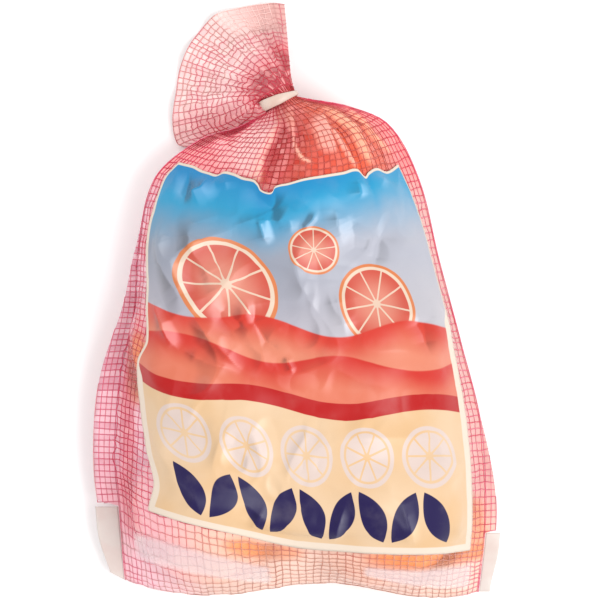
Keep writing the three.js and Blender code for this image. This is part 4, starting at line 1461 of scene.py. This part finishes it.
def bordered(paint, x, y):
    """1 on the pale border: wide below, thin at the sides further up."""
    inside = paint.math("MINIMUM", y - BORDER, PRINT_HEIGHT - TOP_BORDER - y)
    for sign, thin, start in SIDE_BORDERS:
        wide = paint.inside(y, start, BORDER_STEP) * (BORDER - thin)
        inside = paint.math("MINIMUM", inside, x * sign + (PRINT_WIDTH / 2 - thin) - wide)
    return paint.inside(inside, 0.0)


def print_material():
    """The print, with painted highlight on the folds' sides that face the key light and painted shade on the
    others, and slightly worn.
    """
    paint = Paint("label_print", 0.38, 0.28, lit)
    across, up = paint.flat()
    x, y = (across - 0.5) * PRINT_WIDTH, up * PRINT_HEIGHT
    colour = sky(paint, x, y)
    for middle, radius, turn in SLICES:
        colour = citrus_slice(paint, colour, x, y, middle, radius, turn)
    colour = landscape(paint, colour, x, y)
    colour = paint.mix(bordered(paint, x, y), colour, (255, 236, 216))
    # Painted highlight where the folds face the key light, painted shade where they face away.
    slope = paint.stored("slope")
    pale = paint.ease(slope, SLOPE_BEGINS, SLOPE_FULL)
    dark = paint.ease(slope, -SLOPE_BEGINS, -SLOPE_FULL)
    colour = paint.mix(pale * HIGHLIGHT_TINT, colour, (240, 240, 244))
    colour = paint.scaled(colour, pale * HIGHLIGHT_BRIGHTER + 1.0 - dark * SHADE_DARKER)
    worn = paint.ease(paint.noise(60.0, 5.0), 0.5, 0.8) * WORN
    return paint.colour(paint.mix(worn, colour, (250, 236, 226)))


# The printed film's edges, its size in rows and columns, and how much closer its rows are at the top.
LABEL_EDGES = (label_bottom, label_top, label_left, label_right)
LABEL_SIZE, LABEL_FOLDS, LABEL_DENSE = (232, 208), 1.0, 0.3
label = film_patch("label_film", LABEL_SIZE, LABEL_EDGES, FILM_LIFT, LABEL_FOLDS, top_wave, LABEL_DENSE)
put(label, print_material(), "printed_film", "label_panel")


# The bare strips on the coarse grid: their columns, the rows at their two ends, and how far they are bowed.
STRIPS = {
    "strip_left": dict(columns=(2, 15), left_rows=(3.2, 6.4), right_rows=(1.0, 4.6), bow=1.2),
    "strip_right": dict(columns=(23, 34), left_rows=(3.4, 5.7), right_rows=(1.0, 6.8), bow=0.0),
}
STRIP_SIZE, STRIP_LIFT, STRIP_FOLDS = (24, 60), 1.1, 0.2
STRIP_VEIL, STRIP_SOFT = 0.27, (0.07, 0.26)


def strip_material():
    """Bare film that the net shows through, thinning out towards its edges."""
    paint = Paint("strip_film", 0.4)
    ragged = (paint.noise(90.0) - 0.5) * 0.05
    veil = STRIP_VEIL
    for place, soft in zip(paint.flat(), STRIP_SOFT):
        veil = paint.ease(0.5 - abs(place - 0.5) + ragged, 0.01, soft) * veil
    paint.set("Alpha", veil)
    mottle = paint.ease(paint.noise(60.0), 0.35, 0.65)
    return paint.colour(paint.mix(mottle, (238, 224, 228), (246, 234, 234)))


def share_of_column(column):
    return lambda places: np.vectorize(lambda t: float(column_share(column, t)))(places)


def between_rows(left, right, bow):
    """An edge that runs from a coarse row at its left end to another at its right end, bowed between them."""
    def edge(share):
        row = left + (right - left) * share + bow * 4 * share * (1 - share)
        return np.interp(row, np.arange(len(ROWS)), ROWS)
    return edge


STRIP = strip_material()
for name, strip in STRIPS.items():
    edges = [between_rows(*ends, strip["bow"]) for ends in zip(strip["left_rows"], strip["right_rows"])]
    edges += [share_of_column(column) for column in strip["columns"]]
    patch = film_patch(f"{name}_film", STRIP_SIZE, edges, STRIP_LIFT, STRIP_FOLDS)
    put(patch, STRIP, "bare_film", name)


# The tabs below the fins: how finely they are drawn, half their thickness, the share of their length at
# which they are full width, and the waves along them.
TAB_STEPS, TAB_ACROSS, TAB_HALF, TAB_FULL = 40, 12, 0.2, 0.7
TAB_WAVE, TAB_WAVE_TURN, TAB_WAVE_SLANT, TAB_RIPPLE, TAB_RIPPLE_SIZE = 0.35, 9, 2, 0.2, 5.0


def corner_tab(side):
    """The bare film below a fin, with a soft wave along it."""
    n, m = np.meshgrid(np.linspace(0, 1, TAB_STEPS + 1), np.linspace(0, 1, TAB_ACROSS + 1), indexing="ij")
    place = n * (side["tab_top"] - FIN_STEP)
    foot, top = side["tab_widths"]
    width = foot + (top - foot) * ease(n, 0, TAB_FULL)
    x, y = plan(np.full(n.shape, side["share"]), place)
    out = SEAM_EDGE + TAB_GAP + m * width
    wave = TAB_WAVE * np.sin(TAB_WAVE_TURN * n + TAB_WAVE_SLANT * m) * m
    wave = wave + TAB_RIPPLE * lattice_noise(x + out, y, TAB_RIPPLE_SIZE, TAB_SEED)
    z = along(SEAM_AT, SEAM_HEIGHT, place) + wave
    outer = np.stack([x + side["sign"] * out, y + side["tab_cut"] * (1 - n) * m, z], axis=-1)
    if side["sign"] < 0:
        outer = outer[:, ::-1]
    return closed_between(outer + [0, 0, TAB_HALF], outer - [0, 0, TAB_HALF])


BARE = mottled("bare_film", 70.0, (250, 232, 224), (255, 244, 236))
for name, side in (("corner_tab_left", LEFT), ("corner_tab_right", RIGHT)):
    put(new_mesh(f"{name}_film", *corner_tab(side)), BARE, "bare_film", name)


# The tie, a flat band that narrows from the left end of the neck's oval over its middle to its right end.
TIE_GAP, TIE_THICKNESS, TIE_STEPS = 0.5, 1.0, 96
TIE_WIDTHS = (6.0, 5.2, 2.4)
TIE_CORNERS = [(-1, 0.15), (-0.86, 1), (0.86, 1), (1, 0.15), (1, -0.6), (0.8, -1), (-0.8, -1), (-1, -0.6)]


def tie_band():
    angle = np.linspace(0, 2 * math.pi, TIE_STEPS, endpoint=False)
    cosine, sine = np.cos(angle)[:, None], np.sin(angle)[:, None]
    outside = TIE_GAP + TIE_THICKNESS / 2
    wide, deep = NECK_HALF_WIDTH + outside, NECK_HALF_DEPTH + outside
    middle = NECK + cosine * wide * ACROSS + sine * [0, 0, deep]
    out = unit(cosine * deep * ACROSS + sine * [0, 0, wide]) * TIE_THICKNESS / 2
    half = ALONG * np.interp(cosine, [-1, 0, 1], TIE_WIDTHS) / 2
    ring = np.stack([middle + half * a + out * b for a, b in TIE_CORNERS], axis=1)
    index = np.arange(TIE_STEPS * len(TIE_CORNERS)).reshape(TIE_STEPS, len(TIE_CORNERS))
    ahead = np.roll(index, -1, axis=0)
    turned = np.roll(index, -1, axis=1)
    faces = np.stack([index, ahead, np.roll(ahead, -1, axis=1), turned], axis=-1).reshape(-1, 4)
    return new_mesh("tie_band", ring.reshape(-1, 3), faces)


put(tie_band(), mottled("tie_cream", 120.0, (243, 212, 194), (250, 226, 210)), "tie", "neck_tie")


# The floor, the light and the camera.
CAMERA_HEIGHT = 2.0
FOCUS_HEIGHT = 0.04
SENSOR = 36.0
PICTURE_SIZE = 600
FLOOR = 3.0
WORLD_STRENGTH = 1.0
FAR_END = 20.0
# The lamps: where each stands, how wide it is and how strong.
LIGHTS = {
    "key": ((0.8, -0.2, 1.5), 1.0, 18.0),
    "fill": ((-1.0, 0.5, 1.1), 1.0, 4.0),
}


def make_floor():
    mesh = bpy.data.meshes.new("floor")
    corners = [(-FLOOR, -FLOOR, 0), (FLOOR, -FLOOR, 0), (FLOOR, FLOOR, 0), (-FLOOR, FLOOR, 0)]
    mesh.from_pydata(corners, [], [(0, 1, 2, 3)])
    floor = bpy.data.objects.new("floor", mesh)
    bpy.context.scene.collection.objects.link(floor)
    mesh.materials.append(Paint("floor_white", 0.9).colour((252, 252, 252)))


def make_light():
    world = bpy.data.worlds.new("studio")
    bpy.context.scene.world = world
    world.use_nodes = True
    background = world.node_tree.nodes["Background"].inputs
    background["Color"].default_value = (1, 1, 1, 1)
    background["Strength"].default_value = WORLD_STRENGTH
    for name, (location, size, energy) in LIGHTS.items():
        light = bpy.data.lights.new(name, "AREA")
        light.shape = "DISK"
        light.size = size
        light.energy = energy
        lamp = bpy.data.objects.new(name, light)
        lamp.location = location
        lamp.rotation_mode = "QUATERNION"
        lamp.rotation_quaternion = (-lamp.location).to_track_quat("-Z", "Y")
        bpy.context.scene.collection.objects.link(lamp)


def make_camera():
    data = bpy.data.cameras.new("camera")
    data.sensor_width = SENSOR
    data.lens = SENSOR * (CAMERA_HEIGHT - FOCUS_HEIGHT) / (PICTURE_SIZE * PHOTO_MM_PER_PIXEL * MM)
    data.clip_end = FAR_END
    camera = bpy.data.objects.new("camera", data)
    middle = photo_point((PICTURE_SIZE / 2, PICTURE_SIZE / 2)) + SHIFT[:2]
    camera.location = (middle[0] * MM, middle[1] * MM, CAMERA_HEIGHT)
    bpy.context.scene.collection.objects.link(camera)
    bpy.context.scene.camera = camera


make_floor()
make_light()
make_camera()
bpy.context.scene.view_settings.view_transform = "Standard"
